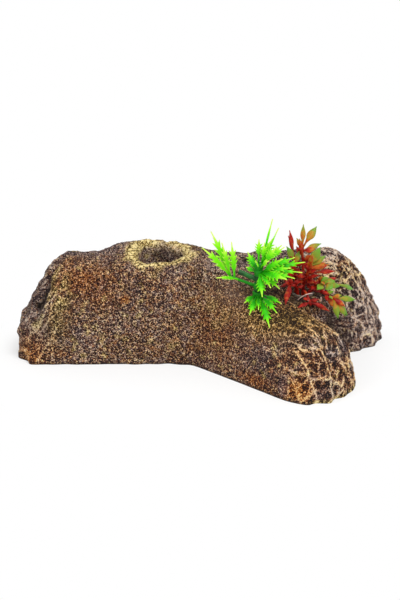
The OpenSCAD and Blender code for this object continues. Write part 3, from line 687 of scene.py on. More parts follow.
def log_zones(points, over):
    """Where each point lies on the log, as shares from 0 to 1: products of ramps along the axes and round
    the knot hole, with borders that soft lumps make stray, and bells of the distance from the crack."""
    x, y, z = np.moveaxis(points, -1, 0)
    far = np.hypot(x - KNOT[0], y - KNOT[1])
    bark = np.broadcast_to(np.arange(x.shape[1]) < BARK_ROWS + THROAT_ROWS, x.shape).astype(float)
    strayed = x + STRAY * (lumps(points, *STRAY_LUMPS) - 0.5)
    back = ramp(y, *BACK_Y) * ramp(strayed, *BACK_X)
    front = ramp(strayed, *FRONT_X) * ramp(y, *FRONT_Y)
    left = ramp(x, *LEFT_X)
    ragged = lumps(points, *RAGGED_LUMPS)
    crust = RIM_R + CRUST_REACH + CRUST_FRONT * ramp(y, KNOT[1], KNOT[1] - CRUST_TURN)
    crust = crust + CRUST_RAGGED * (ragged - 0.5)
    gap = crack_gap(x, y)
    return SimpleNamespace(
        x=x, y=y, z=z, far=far, bark=bark, back=back, front=front, left=left, ragged=ragged,
        root=np.maximum.reduce([front * smooth(over * END_REACH), back, LEFT_ROUGH * left]),
        outer=ramp(x, *OUTER_X) * ramp(z, *OUTER_Z),
        toe=ramp(x, *TOE_X),
        throat=ramp(far, RIM_R, KNOT_R) * bark,
        rim=ramp(far, crust, crust - CRUST_EDGE) * bark,
        level=np.minimum.reduce([
            ramp(np.hypot(x - gx, y - gy), reach + LEVEL_FROM, reach + LEVEL_FULL)
            for (gx, gy), _, reach in GROUNDS]),
        facet=spot(points, *FACET),
        crevice=ramp(spots(points, CREVICES).max(0), *CREVICE_CUT),
        groove=np.exp(-((gap / GROOVE_HALF) ** 2)) * ramp(x, *GROOVE_X),
        lip=np.exp(-(((gap - LIP_GAP) / LIP_HALF) ** 2)) * ramp(x, *GROOVE_X),
        crack=np.exp(-((gap / DARK_HALF) ** 2)) * ramp(x, *CRACK_X),
        worn=flecks(points, *WORN),
    )


def bark_walls(points, u, v, round_foot, zone):
    """The walls between cells, from 0 to 1: long and short cells on the front root and the left end, both
    close on the back root, and low streaks along the trunk. Soft lumps make the cells sway."""
    sway = SWAY * (lumps(points, *SWAY_LUMPS) - 0.5)
    drift = DRIFT * (lumps(points, *DRIFT_LUMPS) - 0.5)
    long_walls = cell_walls(u + sway, v + drift, round_foot, *LONG_CELLS)
    short_walls = cell_walls(u + drift, v + sway, round_foot, *SHORT_CELLS)
    streaks = cell_walls(u + sway, v + drift, round_foot, *STREAK_CELLS)
    mixed = np.maximum(long_walls, SHORT_SHARE * short_walls)
    walls = lerp(STREAK_SHARE * streaks, mixed, np.maximum(zone.front, zone.left))
    return lerp(walls, BACK_SHARE * np.maximum(long_walls, short_walls), zone.back)


def relief(points, walls, zone):
    """How far the bark stands out along its normals, in millimetres: the walls between cells, lumps of
    three sizes, and the crack's lip and groove, all lower on the facet and on level ground; then the
    rim's crust, the swells of the top and the crevices. It fades at the foot, and there is none
    inside."""
    coarse = lumps(points, *COARSE_LUMPS) + SMALL_SHARE * lumps(points, *SMALL_LUMPS)
    push = (LIP_H * zone.lip - GROOVE_D * zone.groove + lerp(*WALL_H, zone.root) * (walls - WALL_MIDDLE)
            + COARSE_H * (coarse - COARSE_MIDDLE) + GRIT_H * (lumps(points, *GRIT_LUMPS) - 0.5))
    push = push * (1 - FACET_SMOOTH * zone.facet) * zone.level
    push = push + CRUST_H * zone.rim * (zone.ragged - CRUST_LOW) + spots(points, SWELLS).sum(0)
    push = push + TOP_SWELL * ramp(zone.z, *TOP_Z) * ramp(zone.x, *TOP_X) * (1 - zone.rim)
    return (push - CREVICE_D * zone.crevice) * ramp(zone.z, *FOOT_Z) * zone.bark


def paint_marks(points, walls, zone):
    """The marks that the paint follows, one number a point: ridge and line where the dry brush touched,
    root where it missed, a mark of painted shade under the plants and on the front lobe's top with darker
    paint in other spots (below 0 for paler paint on the saddle and painted light in the throat), the coats
    ochre, rust and dusk (grey), a near-black mark for dark paint in pits and the crack and for painted
    shade in crevices, the cleft, round the plants' feet and along the foot, facet for smooth casting and
    inside for the lining. Each is the strongest of its spots and zones."""
    x, y, z, rim, throat, front = zone.x, zone.y, zone.z, zone.rim, zone.throat, zone.front
    crest = rim * ramp(z - CREST_TILT * (y - KNOT[1]), *CREST_Z)
    inner_side = smooth((x - CRACK_TOP[0]) * LIP_FADE[0] + (y - CRACK_TOP[1]) * LIP_FADE[1] + 0.5)
    rust = np.maximum(spots(points, RUST_SPOTS).max(0), RUST_FRONT * front * flecks(points, *RUST_FLECKS))
    ochre = np.maximum.reduce([
        *spots(points, OCHRE_SPOTS),
        crest,
        OCHRE_NECK * throat * ramp(z, *NECK_Z) * flecks(points, *NECK_FLECKS),
        spot(points, *OCHRE_END) * flecks(points, *END_FLECKS),
        SADDLE_SHARE * spot(points, *OCHRE_SADDLE) * flecks(points, *SADDLE_FLECKS),
        OCHRE_TOE * ramp(z, *TOE_LINE_Z) * front * zone.toe,
        OCHRE_LIP * zone.lip * inner_side * flecks(points, *LIP_FLECKS),
    ])
    dusk = np.maximum.reduce([
        *spots(points, GREY_SPOTS),
        GREY["right_top"] * ramp(z, *RIGHT_TOP_Z) * ramp(x, *RIGHT_TOP_X) * (1 - rim),
        GREY["left_back"] * zone.left * ramp(y, *LEFT_BACK_Y),
        GREY["outer"] * zone.outer,
        GREY["throat"] * throat,
        GREY["back_low"] * zone.back * ramp(z, *BACK_LOW_Z),
        GREY["front_low"] * front * ramp(z, *FRONT_LOW_Z) * flecks(points, *GREY_FLECKS),
    ])
    # Painted shade under the plants and on the front lobe's top, darker paint in other spots; less on the
    # saddle for paler paint, and in the throat as painted light.
    dim = spots(points, SHADE_AND_DARK_SPOTS).max(0)
    dim = dim - PALER_AND_LIT["saddle"] * spot(points, *BRIGHT_SADDLE) - PALER_AND_LIT["throat"] * throat
    # Near-black: dark paint in pits, the crack and its groove, and painted shade in the crevices, the
    # cleft, round the plants' feet, in the throat and along the foot.
    deep = np.maximum.reduce([
        *spots(points, SHADE_SPOTS),
        DARK_AND_SHADE["outer"] * zone.outer,
        DARK_AND_SHADE["crack"] * zone.crack,
        DARK_AND_SHADE["groove"] * zone.groove,
        DARK_AND_SHADE["crevice"] * zone.crevice,
        DARK_AND_SHADE["pits"] * ramp(walls, *PIT_WALLS) * zone.root,
        DARK_AND_SHADE["throat"] * throat,
        DARK_AND_SHADE["foot"] * ramp(z, *FOOT_LINE_Z) * (1 - zone.toe * front),
    ])
    # Fewer pale lines on the front lobe's top, as painted shade of the plants over it.
    line = walls * zone.worn * zone.root * (1 - LOBE_TOP_SHADE * spot(points, *LOBE_TOP))
    return dict(
        ridge=walls * np.maximum(zone.root, TRUNK_RIDGE) + crest, line=line,
        root=zone.root * lerp(1, BACK_ROOT, zone.back), dim=dim, ochre=ochre, rust=rust, dusk=dusk,
        deep=deep, facet=zone.facet, inside=1 - zone.bark)


def casting():
    """The log's surface and its paint marks: the grid pushed out along its normals by the relief, with
    the knot hole's edge bitten in and out on its rays by soft lumps, and nothing below the floor."""
    points, u, v, round_foot, over = casting_grid()
    zone = log_zones(points, over)
    walls = bark_walls(points, u, v, round_foot, zone)
    moved = points + grid_normals(points) * relief(points, walls, zone)[..., None]
    bite = BITE * (lumps(moved, *BITE_LUMPS) - BITE_MIDDLE) * zone.throat * ramp(zone.z, *BITE_Z)
    away = np.stack([zone.x - KNOT[0], zone.y - KNOT[1], 0 * zone.z], -1) / zone.far[..., None]
    moved = moved + away * bite[..., None]
    moved[..., 2] = np.maximum(moved[..., 2], 0)
    return moved, paint_marks(moved, walls, zone)


def loop_faces(rows, across):
    """Four-sided faces of a grid that closes both ways, as one block."""
    at = np.arange(rows * across).reshape(rows, across)
    nxt = np.roll(at, -1, 0)
    return [np.stack([at, nxt, np.roll(nxt, -1, 1), np.roll(at, -1, 1)], -1).reshape(-1, 4)]


def tube_faces(rows, across):
    """Faces of rings of points joined into a tube: a block of its sides, and one of the two filled end
    rings."""
    at = np.arange(rows * across).reshape(rows, across)
    nxt = np.roll(at, -1, 1)
    sides = np.stack([at[:-1], nxt[:-1], nxt[1:], at[1:]], -1).reshape(-1, 4)
    return [sides, np.stack([at[0, ::-1], at[-1]])]


def leaf_rings(base, tip, half, teeth, stalk):
    """A leaf as rings of points across it from stalk to tip, with a mark for how near a point is to the
    tip, to a tooth's point or to the edge. The midrib arches by ARCH t (1 - t) of the length. The
    half-width swells as a sine of a share of the way raised to a power. Teeth are a saw-tooth on that
    width up to TOOTHED of the blade, and each point leans forward. Across a ring the blade folds down
    from the midrib and thins to its edge."""
    base, tip = np.array(base, float), np.array(tip, float)
    length = np.linalg.norm(tip - base)
    along = (tip - base) / length
    side = unit(np.cross(along, LEAF_FACES))
    lift = np.cross(side, along)
    s = np.linspace(0, 1, RINGS_PER_TOOTH * teeth + 1 if teeth else PLAIN_RINGS)
    phase = np.where(s < TOOTHED, s / TOOTHED * teeth % 1, 0)
    saw = 1 - np.abs(2 * phase - 1)
    swell = np.sin(math.pi * lerp(*SWELL_SPAN, s) ** SWELL_POWER)
    body = np.where(s < TOOTHED, BODY, END_LOBE)
    wide = half * swell * (lerp(body, 1.0, saw) if teeth else 1.0)
    lean = saw * LEAN * TOOTHED * (1 - stalk) * length / max(teeth, 1)
    t = np.concatenate([[0, STALK_STEP * stalk], lerp(stalk, TIP_SHARE, s), [1.0]])
    wide = np.concatenate([[STALK_HALF * LEAF_T] * 2, np.maximum(wide, NARROW * LEAF_T), [POINT * LEAF_T]])
    lean, saw = np.pad(lean, (2, 1)), np.pad(saw, (2, 1))
    v = np.linspace(-1, 1, ACROSS)
    v = np.concatenate([v, v[::-1]])[None]
    face = np.repeat([1.0, -1.0], ACROSS)[None]
    mid = base + along * (length * t)[:, None] + lift * (ARCH * length * t * (1 - t))[:, None]
    thick = face * (LEAF_T / 2 * lerp(1, EDGE_THIN, t))[:, None] * (1 - EDGE_TAPER * np.abs(v))
    fold = FOLD * np.abs(v) ** FOLD_POWER * wide[:, None]
    points = (mid[:, None] + side * (v * wide[:, None])[..., None] + lift * (thick - fold)[..., None]
              + along * (np.abs(v) * lean[:, None])[..., None])
    near_tip = np.maximum(t[:, None] ** 3, TOOTH_PALE * saw[:, None] * v**2)
    return points, np.maximum(near_tip, EDGE_PALE * v**4 * smooth(t / EDGE_PALE_FROM)[:, None])


def bend(start, knee, end, t):
    """Points at shares t of a quadratic curve that leaves its start towards the knee."""
    t = np.asarray(t, float)[..., None]
    return np.array(start) * (1 - t) ** 2 + np.array(knee) * 2 * t * (1 - t) + np.array(end) * t**2


def tube_rings(path, radius, sides):
    """Rings of points round a path: each ring lies square to the path's run, at that place's radius.
    Rings start at a right angle to ASIDE, a direction that no path here follows."""
    path = np.asarray(path, float)
    run = unit(np.gradient(path, axis=0))
    east = unit(np.cross(np.array(ASIDE), run))[:, None]
    north = np.cross(run, east[:, 0])[:, None]
    a = np.linspace(0, 2 * math.pi, sides, endpoint=False)[None, :, None]
    return path[:, None] + np.asarray(radius)[:, None, None] * (east * np.cos(a) + north * np.sin(a))


def turned_ring(profile, centre, steps):
    """A closed profile of radius and height carried round an upright axis."""
    a = np.linspace(0, 2 * math.pi, steps, endpoint=False)[:, None]
    profile = np.asarray(profile, float)
    r, z = profile[None, :, 0], profile[None, :, 1]
    return np.array(centre) + np.stack([r * np.cos(a), r * np.sin(a), z + 0 * a], -1)


class Moulding:
    """Gathers the surfaces of one moulded piece, each with two marks at its points: tip, how near the
    point is to a leaf's tip, and tone, how far its colour is from the plant's own."""

    def __init__(self):
        """Starts with no surface."""
        self.points = []
        self.faces = []
        self.marks = {"tip": [], "tone": []}
        self.count = 0

    def add(self, points, blocks, tip=0.0, tone=0.0):
        """Adds a grid of points and its blocks of faces, counted on from the points that are there."""
        self.points.append(points.reshape(-1, 3))
        self.faces += [block + self.count for block in blocks]
        for mark, value in (("tip", tip), ("tone", tone)):
            self.marks[mark].append(np.broadcast_to(value, points.shape[:-1]).ravel())
        self.count += len(self.points[-1])

    def leaf(self, base, tip, half, teeth, stalk=STALK, tone=0.0, pale=0.0):
        """Adds a leaf from base to tip, paler all over by a share."""
        points, near_tip = leaf_rings(base, tip, half, teeth, stalk)
        self.add(points, tube_faces(*points.shape[:2]), near_tip + pale, tone)

    def tube(self, path, radius, sides=TUBE_SIDES, tone=0.0):
        """Adds a stem or a string along a path."""
        rings = tube_rings(path, radius, sides)
        self.add(rings, tube_faces(*rings.shape[:2]), 0.0, tone)

    def gathered(self):
        """All the points, the blocks of faces, and the marks."""
        marks = {mark: np.concatenate(values) for mark, values in self.marks.items()}
        return np.concatenate(self.points), self.faces, marks


def put(name, points, blocks, marks, material, nodes=()):
    """Makes a piece of points in millimetres and blocks of faces, with its marks as attributes, and rides
    it on the log."""
    points = points.reshape(-1, 3) * MM
    corners = np.concatenate([block.ravel() for block in blocks])
    sizes = np.concatenate([np.full(len(block), block.shape[1]) for block in blocks])
    mesh = bpy.data.meshes.new(name)
    mesh.vertices.add(len(points))
    mesh.vertices.foreach_set("co", points.astype(np.float32).ravel())
    mesh.loops.add(len(corners))
    mesh.loops.foreach_set("vertex_index", corners.astype(np.int32))
    mesh.polygons.add(len(sizes))
    mesh.polygons.foreach_set("loop_start", (np.cumsum(sizes) - sizes).astype(np.int32))
    mesh.polygons.foreach_set("use_smooth", np.ones(len(sizes), bool))
    mesh.update(calc_edges=True)
    for mark, values in marks.items():
        layer = mesh.attributes.new(mark, "FLOAT", "POINT")
        layer.data.foreach_set("value", np.ascontiguousarray(values, np.float32).ravel())
    mesh.materials.append(material)
    made = bpy.data.objects.new(name, mesh)
    bpy.context.scene.collection.objects.link(made)
    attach(made, "root")
    if nodes:
        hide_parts(*nodes)


def linear(code):
    """An sRGB hex colour as linear red, green, blue and a full alpha."""
    parts = [int(code[i:i + 2], 16) / 255 for i in (1, 3, 5)]
    return tuple(c / 12.92 if c <= 0.04045 else ((c + 0.055) / 1.055) ** 2.4 for c in parts) + (1.0,)


def add(tree, kind, settings=None, inputs=None, stops=None):
    """Adds a node to a tree: its own settings, its inputs, by name or number, as values or as links from
    sockets, and a ramp's stops. A mix of colours takes its share at input 0 and the colours at 6 and
    7."""
    made = tree.nodes.new(kind)
    for name, value in (settings or {}).items():
        setattr(made, name, value)
    for name, value in (inputs or {}).items():
        socket = made.inputs[name]
        if isinstance(value, bpy.types.NodeSocket):
            tree.links.new(value, socket)
        else:
            socket.default_value = value
    if stops:
        colours = made.color_ramp.elements
        while len(colours) < len(stops):
            colours.new(0.5)
        for element, (place, code) in zip(colours, stops):
            element.position = place
            element.color = linear(code)
    return made


def new_material(name):
    """An empty material, its tree, and a socket with the place on the object."""
    made = bpy.data.materials.new(name)
    made.use_nodes = True
    made.node_tree.nodes.clear()
    return made, made.node_tree, add(made.node_tree, "ShaderNodeTexCoord").outputs["Object"]


def painted_marks(tree, *names):
    """Sockets of a piece's marks, by name."""
    return {
        name: add(tree, "ShaderNodeAttribute", {"attribute_name": name}).outputs["Fac"] for name in names}


def per_metre(size_mm):
    """Texture scale at which one feature of a noise is about that many millimetres across."""
    return 1 / (size_mm * MM)


# How dry the brush was, and the resin's coats, each from the pits to the grains that took most paint.
BRUSH_DRY = 0.097
COATS = {
    "brown": ((0.40, "#120906"), (0.46, "#301c14"), (0.51, "#533527"), (0.56, "#855b48"), (0.62, "#c0946a"),
              (0.72, "#f3dba2")),
    "dusk": ((0.38, "#1a1315"), (0.45, "#3a2e31"), (0.52, "#634f50"), (0.60, "#99827b"), (0.72, "#d5c3b4")),
    "rust": ((0.38, "#1c0b04"), (0.45, "#54240b"), (0.52, "#934a13"), (0.60, "#cf8338"), (0.72, "#f0c680")),
    "ochre": ((0.36, "#2a1c0a"), (0.43, "#6f5427"), (0.48, "#ad8e4c"), (0.55, "#e0c476"),
              (0.66, "#f7e5a9")),
}


def cast_resin():
    """Stone-filled polyester resin, cast in a rubber mould, painted dark brown and dry-brushed with tan,
    ochre and rust. The eye sees a matt, gritty skin whose raised grains and ridges caught the pale
    paint."""
    made, tree, place = new_material("cast_stone_filled_resin_dry_brushed")
    mark = painted_marks(
        tree, "ridge", "line", "root", "ochre", "rust", "dusk", "deep", "dim", "facet", "inside")
    warped = []
    for size, detail, reach in ((5.0, 2.0, 4.0), (1.2, 1.0, 1.4)):
        warp = add(tree, "ShaderNodeTexNoise", {}, {
            "Vector": place, "Scale": per_metre(size), "Detail": detail}).outputs["Color"]
        warped.append(add(tree, "ShaderNodeVectorMath", {"operation": "MULTIPLY_ADD"}, {
            0: warp, 1: (reach * MM,) * 3, 2: place}).outputs[0])
    swayed, shaken = warped

    # Grit: grains of sand, with pits between them. Such sand is finer than a pixel of the render, so its
    # grains and pits are drawn coarser, at about 0.5 and 1.3 mm.
    pit = add(tree, "ShaderNodeTexVoronoi", {"feature": "F1"}, {
        "Vector": shaken, "Scale": per_metre(1.3)}).outputs["Distance"]
    pit = add(tree, "ShaderNodeMapRange", {}, {
        "Value": pit, "From Min": 0.2, "From Max": 0.75, "To Min": -0.125, "To Max": 0.09}).outputs[0]
    sand = add(tree, "ShaderNodeTexNoise", {}, {
        "Vector": place, "Scale": per_metre(0.52), "Detail": 1.0, "Roughness": 0.5}).outputs["Fac"]
    grit = add(tree, "ShaderNodeMath", {"operation": "ADD"}, {0: sand, 1: pit}).outputs[0]

    # Crumbs of the rim's crust.
    crumb = add(tree, "ShaderNodeTexVoronoi", {"feature": "DISTANCE_TO_EDGE"}, {
        "Vector": swayed, "Scale": per_metre(3.3)}).outputs["Distance"]
    crumb = add(tree, "ShaderNodeMapRange", {}, {
        "Value": crumb, "From Min": 0.02, "From Max": 0.22, "To Min": -0.17, "To Max": 0.1}).outputs[0]

    # How much pale paint the brush left, and the coats that it was drawn through.
    cloud = add(tree, "ShaderNodeTexNoise", {}, {
        "Vector": place, "Scale": per_metre(11.0), "Detail": 3.0, "Roughness": 0.6}).outputs["Fac"]
    # One of these marks takes paint off as painted shade under the plants and on the front lobe's top, and
    # adds it in the throat as painted light.
    brush = grit
    for source, share in (
        (mark["ridge"], 0.08), (mark["line"], 0.32), (mark["root"], -0.09), (mark["dim"], -0.07),
        (cloud, 0.14), (mark["ochre"], crumb),
    ):
        brush = add(tree, "ShaderNodeMath", {"operation": "MULTIPLY_ADD"}, {
            0: source, 1: share, 2: brush}).outputs[0]
    brush = add(tree, "ShaderNodeMath", {"operation": "SUBTRACT"}, {0: brush, 1: BRUSH_DRY}).outputs[0]
    coats = {name: add(tree, "ShaderNodeValToRGB", {}, {"Fac": brush}, stops).outputs["Color"]
             for name, stops in COATS.items()}

    # Where each coat lies: by its mark, and in broad clouds, patches and single grains.
    broad = add(tree, "ShaderNodeTexNoise", {}, {
        "Vector": place, "Scale": per_metre(26.0), "Detail": 4.0, "Roughness": 0.65}).outputs["Fac"]
    patch = add(tree, "ShaderNodeTexNoise", {}, {
        "Vector": place, "Scale": per_metre(5.7), "Detail": 2.0, "Roughness": 0.6}).outputs["Color"]
    patch = add(tree, "ShaderNodeSeparateXYZ", {}, {"Vector": patch}).outputs
    grain = add(tree, "ShaderNodeTexNoise", {}, {
        "Vector": place, "Scale": per_metre(1.5), "Detail": 1.0}).outputs["Color"]
    grain = add(tree, "ShaderNodeSeparateXYZ", {}, {"Vector": grain}).outputs
    shade = coats["brown"]
    for name, source, low, high, most, strength in (
        ("dusk", broad, 0.48, 0.66, 0.7, 0.75), ("dusk", patch[0], 0.52, 0.64, 0.6, 0.9),
        ("rust", patch[1], 0.55, 0.68, 0.7, 0.62), ("dusk", grain[0], 0.54, 0.62, 0.8, 0.8),
        ("rust", grain[1], 0.56, 0.66, 0.7, 0.6), ("ochre", patch[2], 0.60, 0.72, 0.6, 0.95),
    ):
        spread = add(tree, "ShaderNodeMapRange", {}, {
            "Value": source, "From Min": low, "From Max": high, "To Min": 0.0, "To Max": most}).outputs[0]
        cover = add(tree, "ShaderNodeMath", {"operation": "MAXIMUM"}, {0: spread, 1: mark[name]}).outputs[0]
        cover = add(tree, "ShaderNodeMath", {"operation": "MULTIPLY", "use_clamp": True}, {
            0: cover, 1: strength}).outputs[0]
        shade = add(tree, "ShaderNodeMix", {"data_type": "RGBA"}, {
            0: cover, 6: shade, 7: coats[name]}).outputs[2]
    # Then the facet's smooth paint, the lining, and near-black over dark paint and painted shade in
    # crevices, the cleft, the plants' grounds and along the foot.
    for name, share, code in (
        ("facet", 0.25, "#8e7166"), ("inside", 0.5, "#84746a"), ("deep", 0.6, "#140c08"),
    ):
        cover = add(tree, "ShaderNodeMath", {"operation": "MULTIPLY", "use_clamp": True}, {
            0: mark[name], 1: share}).outputs[0]
        shade = add(tree, "ShaderNodeMix", {"data_type": "RGBA"}, {
            0: cover, 6: shade, 7: linear(code)}).outputs[2]
    height = add(tree, "ShaderNodeMath", {"operation": "MULTIPLY_ADD"}, {
        0: mark["line"], 1: 0.4, 2: grit}).outputs[0]
    bump = add(tree, "ShaderNodeBump", {}, {
        "Strength": 0.9, "Distance": 0.9 * MM, "Height": height}).outputs["Normal"]
    resin = add(tree, "ShaderNodeBsdfPrincipled", {}, {
        "Base Color": shade, "Roughness": 0.82, "Specular IOR Level": 0.2, "IOR": 1.5, "Normal": bump})
    add(tree, "ShaderNodeOutputMaterial", {}, {"Surface": resin.outputs["BSDF"]})
    return made


def green_polyethylene():
    """Soft polyethylene, injection moulded and tip-dyed: waxy leaves of a clear green that pale to
    yellow-green at the teeth, with light showing through the thin blade."""
    made, tree, place = new_material("moulded_polyethylene_leaf_green")
    mark = painted_marks(tree, "tip", "tone")
    dye = add(tree, "ShaderNodeTexNoise", {}, {
        "Vector": place, "Scale": per_metre(5.0), "Detail": 2.0}).outputs["Fac"]
    fade = add(tree, "ShaderNodeMath", {"operation": "MULTIPLY_ADD"}, {
        0: dye, 1: 0.5, 2: mark["tip"]}).outputs[0]
    fade = add(tree, "ShaderNodeMath", {"operation": "SUBTRACT"}, {0: fade, 1: 0.25}).outputs[0]
    colour = add(tree, "ShaderNodeValToRGB", {}, {"Fac": fade}, (
        (0.0, "#1a9400"), (0.2, "#44c800"), (0.5, "#80de08"), (0.95, "#cdf258"))).outputs["Color"]
    colour = add(tree, "ShaderNodeMix", {"data_type": "RGBA"}, {
        0: mark["tone"], 6: colour, 7: linear("#146b16")}).outputs[2]
    ripple = add(tree, "ShaderNodeTexNoise", {}, {
        "Vector": place, "Scale": per_metre(0.8), "Detail": 1.0}).outputs["Fac"]
    bump = add(tree, "ShaderNodeBump", {}, {
        "Strength": 0.15, "Distance": 0.3 * MM, "Height": ripple}).outputs["Normal"]
    leaf = add(tree, "ShaderNodeBsdfPrincipled", {}, {
        "Base Color": colour, "Roughness": 0.45, "Specular IOR Level": 0.16, "IOR": 1.51,
        "Subsurface Weight": 0.25, "Subsurface Radius": (0.6, 1.0, 0.3), "Subsurface Scale": 0.8 * MM,
        "Normal": bump})
    add(tree, "ShaderNodeOutputMaterial", {}, {"Surface": leaf.outputs["BSDF"]})
    return made


def stem_polyethylene():
    """The same polyethylene in a thick dark-green bar: wet-looking, with slow bands of shade along it."""
    made, tree, place = new_material("moulded_polyethylene_stem_green")
    dye = add(tree, "ShaderNodeTexNoise", {}, {
        "Vector": place, "Scale": per_metre(4.0), "Detail": 2.0}).outputs["Fac"]
    colour = add(tree, "ShaderNodeValToRGB", {}, {"Fac": dye}, (
        (0.3, "#082d0c"), (0.5, "#0f4c14"), (0.7, "#1c6c1e"))).outputs["Color"]
    stem = add(tree, "ShaderNodeBsdfPrincipled", {}, {
        "Base Color": colour, "Roughness": 0.35, "Specular IOR Level": 0.25, "IOR": 1.51,
        "Subsurface Weight": 0.2, "Subsurface Radius": (0.3, 1.0, 0.4), "Subsurface Scale": 1.0 * MM})
    add(tree, "ShaderNodeOutputMaterial", {}, {"Surface": stem.outputs["BSDF"]})
    return made


def red_polyethylene():
    """Polyethylene moulded red and over-dyed green: oval leaves that run from blood red at the stalk
    through orange to a leaf green where the second dye took."""
    made, tree, place = new_material("moulded_polyethylene_leaf_red")
    mark = painted_marks(tree, "tip", "tone")
    dye = add(tree, "ShaderNodeTexNoise", {}, {
        "Vector": place, "Scale": per_metre(2.5), "Detail": 2.0}).outputs["Fac"]
    far = add(tree, "ShaderNodeMath", {"operation": "MULTIPLY_ADD"}, {
        0: mark["tip"], 1: 0.75, 2: 0.25}).outputs[0]
    over = add(tree, "ShaderNodeMath", {"operation": "MULTIPLY"}, {0: far, 1: mark["tone"]}).outputs[0]
    over = add(tree, "ShaderNodeMath", {"operation": "MULTIPLY_ADD"}, {0: dye, 1: 0.4, 2: over}).outputs[0]
    colour = add(tree, "ShaderNodeValToRGB", {}, {"Fac": over}, (
        (0.05, "#4c0404"), (0.15, "#7a0805"), (0.24, "#a61d0d"), (0.33, "#b8641c"), (0.42, "#a98a2c"),
        (0.52, "#7f8e28"), (0.75, "#659a2c"))).outputs["Color"]
    leaf = add(tree, "ShaderNodeBsdfPrincipled", {}, {
        "Base Color": colour, "Roughness": 0.4, "Specular IOR Level": 0.2, "IOR": 1.51,
        "Subsurface Weight": 0.2, "Subsurface Radius": (1.0, 0.4, 0.2), "Subsurface Scale": 0.8 * MM})
    add(tree, "ShaderNodeOutputMaterial", {}, {"Surface": leaf.outputs["BSDF"]})
    return made


def hot_melt_glue(name, stops):
    """Ethylene-vinyl acetate hot-melt glue, run in hot and set: milky, rounded and glossy, dusty where it
    lies as a bead and pale where it drew out to strings."""
    made, tree, place = new_material(name)
    milk = add(tree, "ShaderNodeTexNoise", {}, {
        "Vector": place, "Scale": per_metre(2.5), "Detail": 2.0}).outputs["Fac"]
    colour = add(tree, "ShaderNodeValToRGB", {}, {"Fac": milk}, stops).outputs["Color"]
    glue = add(tree, "ShaderNodeBsdfPrincipled", {}, {
        "Base Color": colour, "Roughness": 0.3, "IOR": 1.48, "Subsurface Weight": 0.3,
        "Subsurface Radius": (1.0, 0.9, 0.8), "Subsurface Scale": 1.0 * MM})
    add(tree, "ShaderNodeOutputMaterial", {}, {"Surface": glue.outputs["BSDF"]})
    return made


RESIN = cast_resin()
GREEN = green_polyethylene()
STEM = stem_polyethylene()
RED = red_polyethylene()
GLUE = hot_melt_glue("hot_melt_glue_bead", ((0.3, "#3a2f26"), (0.55, "#66594c"), (0.75, "#a09486")))
GLUE_STRING = hot_melt_glue("hot_melt_glue_string", ((0.3, "#a8857b"), (0.7, "#d2b3a8")))


def make_log():
    """The casting, with its relief, in place of the CAD shell."""
    points, marks = casting()
    put("log_casting", points, loop_faces(*points.shape[:2]), marks, RESIN, ["cave_shell"])


def make_spray(name, at_z, spigot_r, leaves, pale, arm=None, stalk=STALK):
    """A leaf spray: a collar turned round the stem, and leaves out of its wall or along its arm."""
    inner = spigot_r + FIT
    outer = inner + COLLAR_T
    low = GREEN_Z + at_z
    high = low + COLLAR_H
    spray = Moulding()
    ring = turned_ring([
        (inner, low), (inner, high), (outer - COLLAR_SOFT, high), (outer, high - COLLAR_SOFT),
        (outer, low + COLLAR_SOFT), (outer - COLLAR_SOFT, low)], (*GREEN_AT, 0.0), COLLAR_STEPS)
    spray.add(ring, loop_faces(*ring.shape[:2]), tone=COLLAR_TONE)
    middle = np.array([*GREEN_AT, (low + high) / 2])
    for tip, share, *along in leaves:
        if arm is None:
            root = unit((tip[0], tip[1], 0.0)) * (outer - COLLAR_T / 2)
        else:
            root = np.array(arm) * along[0]
        teeth = LEAF_TEETH if share > BLADE_SHARE else 0
        half = GREEN_LEAF_W / 2 * LEAF_SLIM * share
        spray.leaf(middle + root, middle + np.array(tip), half, teeth, stalk, pale=pale)
    if arm is not None:
        start = unit((arm[0], arm[1], 0.0)) * inner
        path = lerp(start, np.array(arm) * ARM_PAST, np.linspace(0, 1, ARM_RINGS)[:, None])
        spray.tube(middle + path, np.linspace(*ARM_TAPER, ARM_RINGS) * ARM_R, tone=COLLAR_TONE)
    points, faces, marks = spray.gathered()
    put(name + "_leaves", points, faces, marks, GREEN, [name])


def make_sprig(name, hole, end, leaves):
    """A red sprig: a stem that leaves the foot upright and bends to its end on a quadratic curve, with
    oval leaves on it and small ones round it, each a golden turn on from the last."""
    ground = np.array([*RED_AT, RED_Z])
    ring = 0.0 if hole is None else SPRIG_RING
    turn = math.radians(hole or 0)
    foot = ground + np.array([ring * math.cos(turn), ring * math.sin(turn), FOOT_T - SOCKET_DEPTH])
    stem = foot, foot + np.array([0, 0, SPRIG_RISE]), ground + np.array(end)
    sprig = Moulding()
    t = np.linspace(0, 1, SPRIG_RINGS)
    sprig.tube(bend(*stem, t), lerp(1, SPRIG_TAPER, t) * SPRIG_R)
    for share, tip, width, tone in leaves:
        base, tip = bend(*stem, share), ground + np.array(tip)
        half = RED_LEAF_W / 2 * width * lerp(1, GREEN_BROAD, tone)
        stalk = max(RED_STALK, 1 - BLADE_MOST / np.linalg.norm(tip - base))
        sprig.leaf(base, tip, half, 0, stalk, tone)
    for i in range(0 if name in BARE else BUSH):
        base = bend(*stem, lerp(*BUSH_SPAN, i / (BUSH - 1)))
        turn = GOLDEN * i
        length = BUSH_LEAF * (1 - BUSH_SHORT * (i % 3 == 0))
        tip = base + np.array([math.cos(turn), math.sin(turn), BUSH_RISE]) * length
        tone = float(ramp(tip[0] - ground[0], *BUSH_GREEN_X)) * (i % 2)
        sprig.leaf(base, tip, RED_LEAF_W / 2 * BUSH_WIDTH, 0, RED_STALK, tone)
    points, faces, marks = sprig.gathered()
    put(name + "_leaves", points, faces, marks, RED, [name])


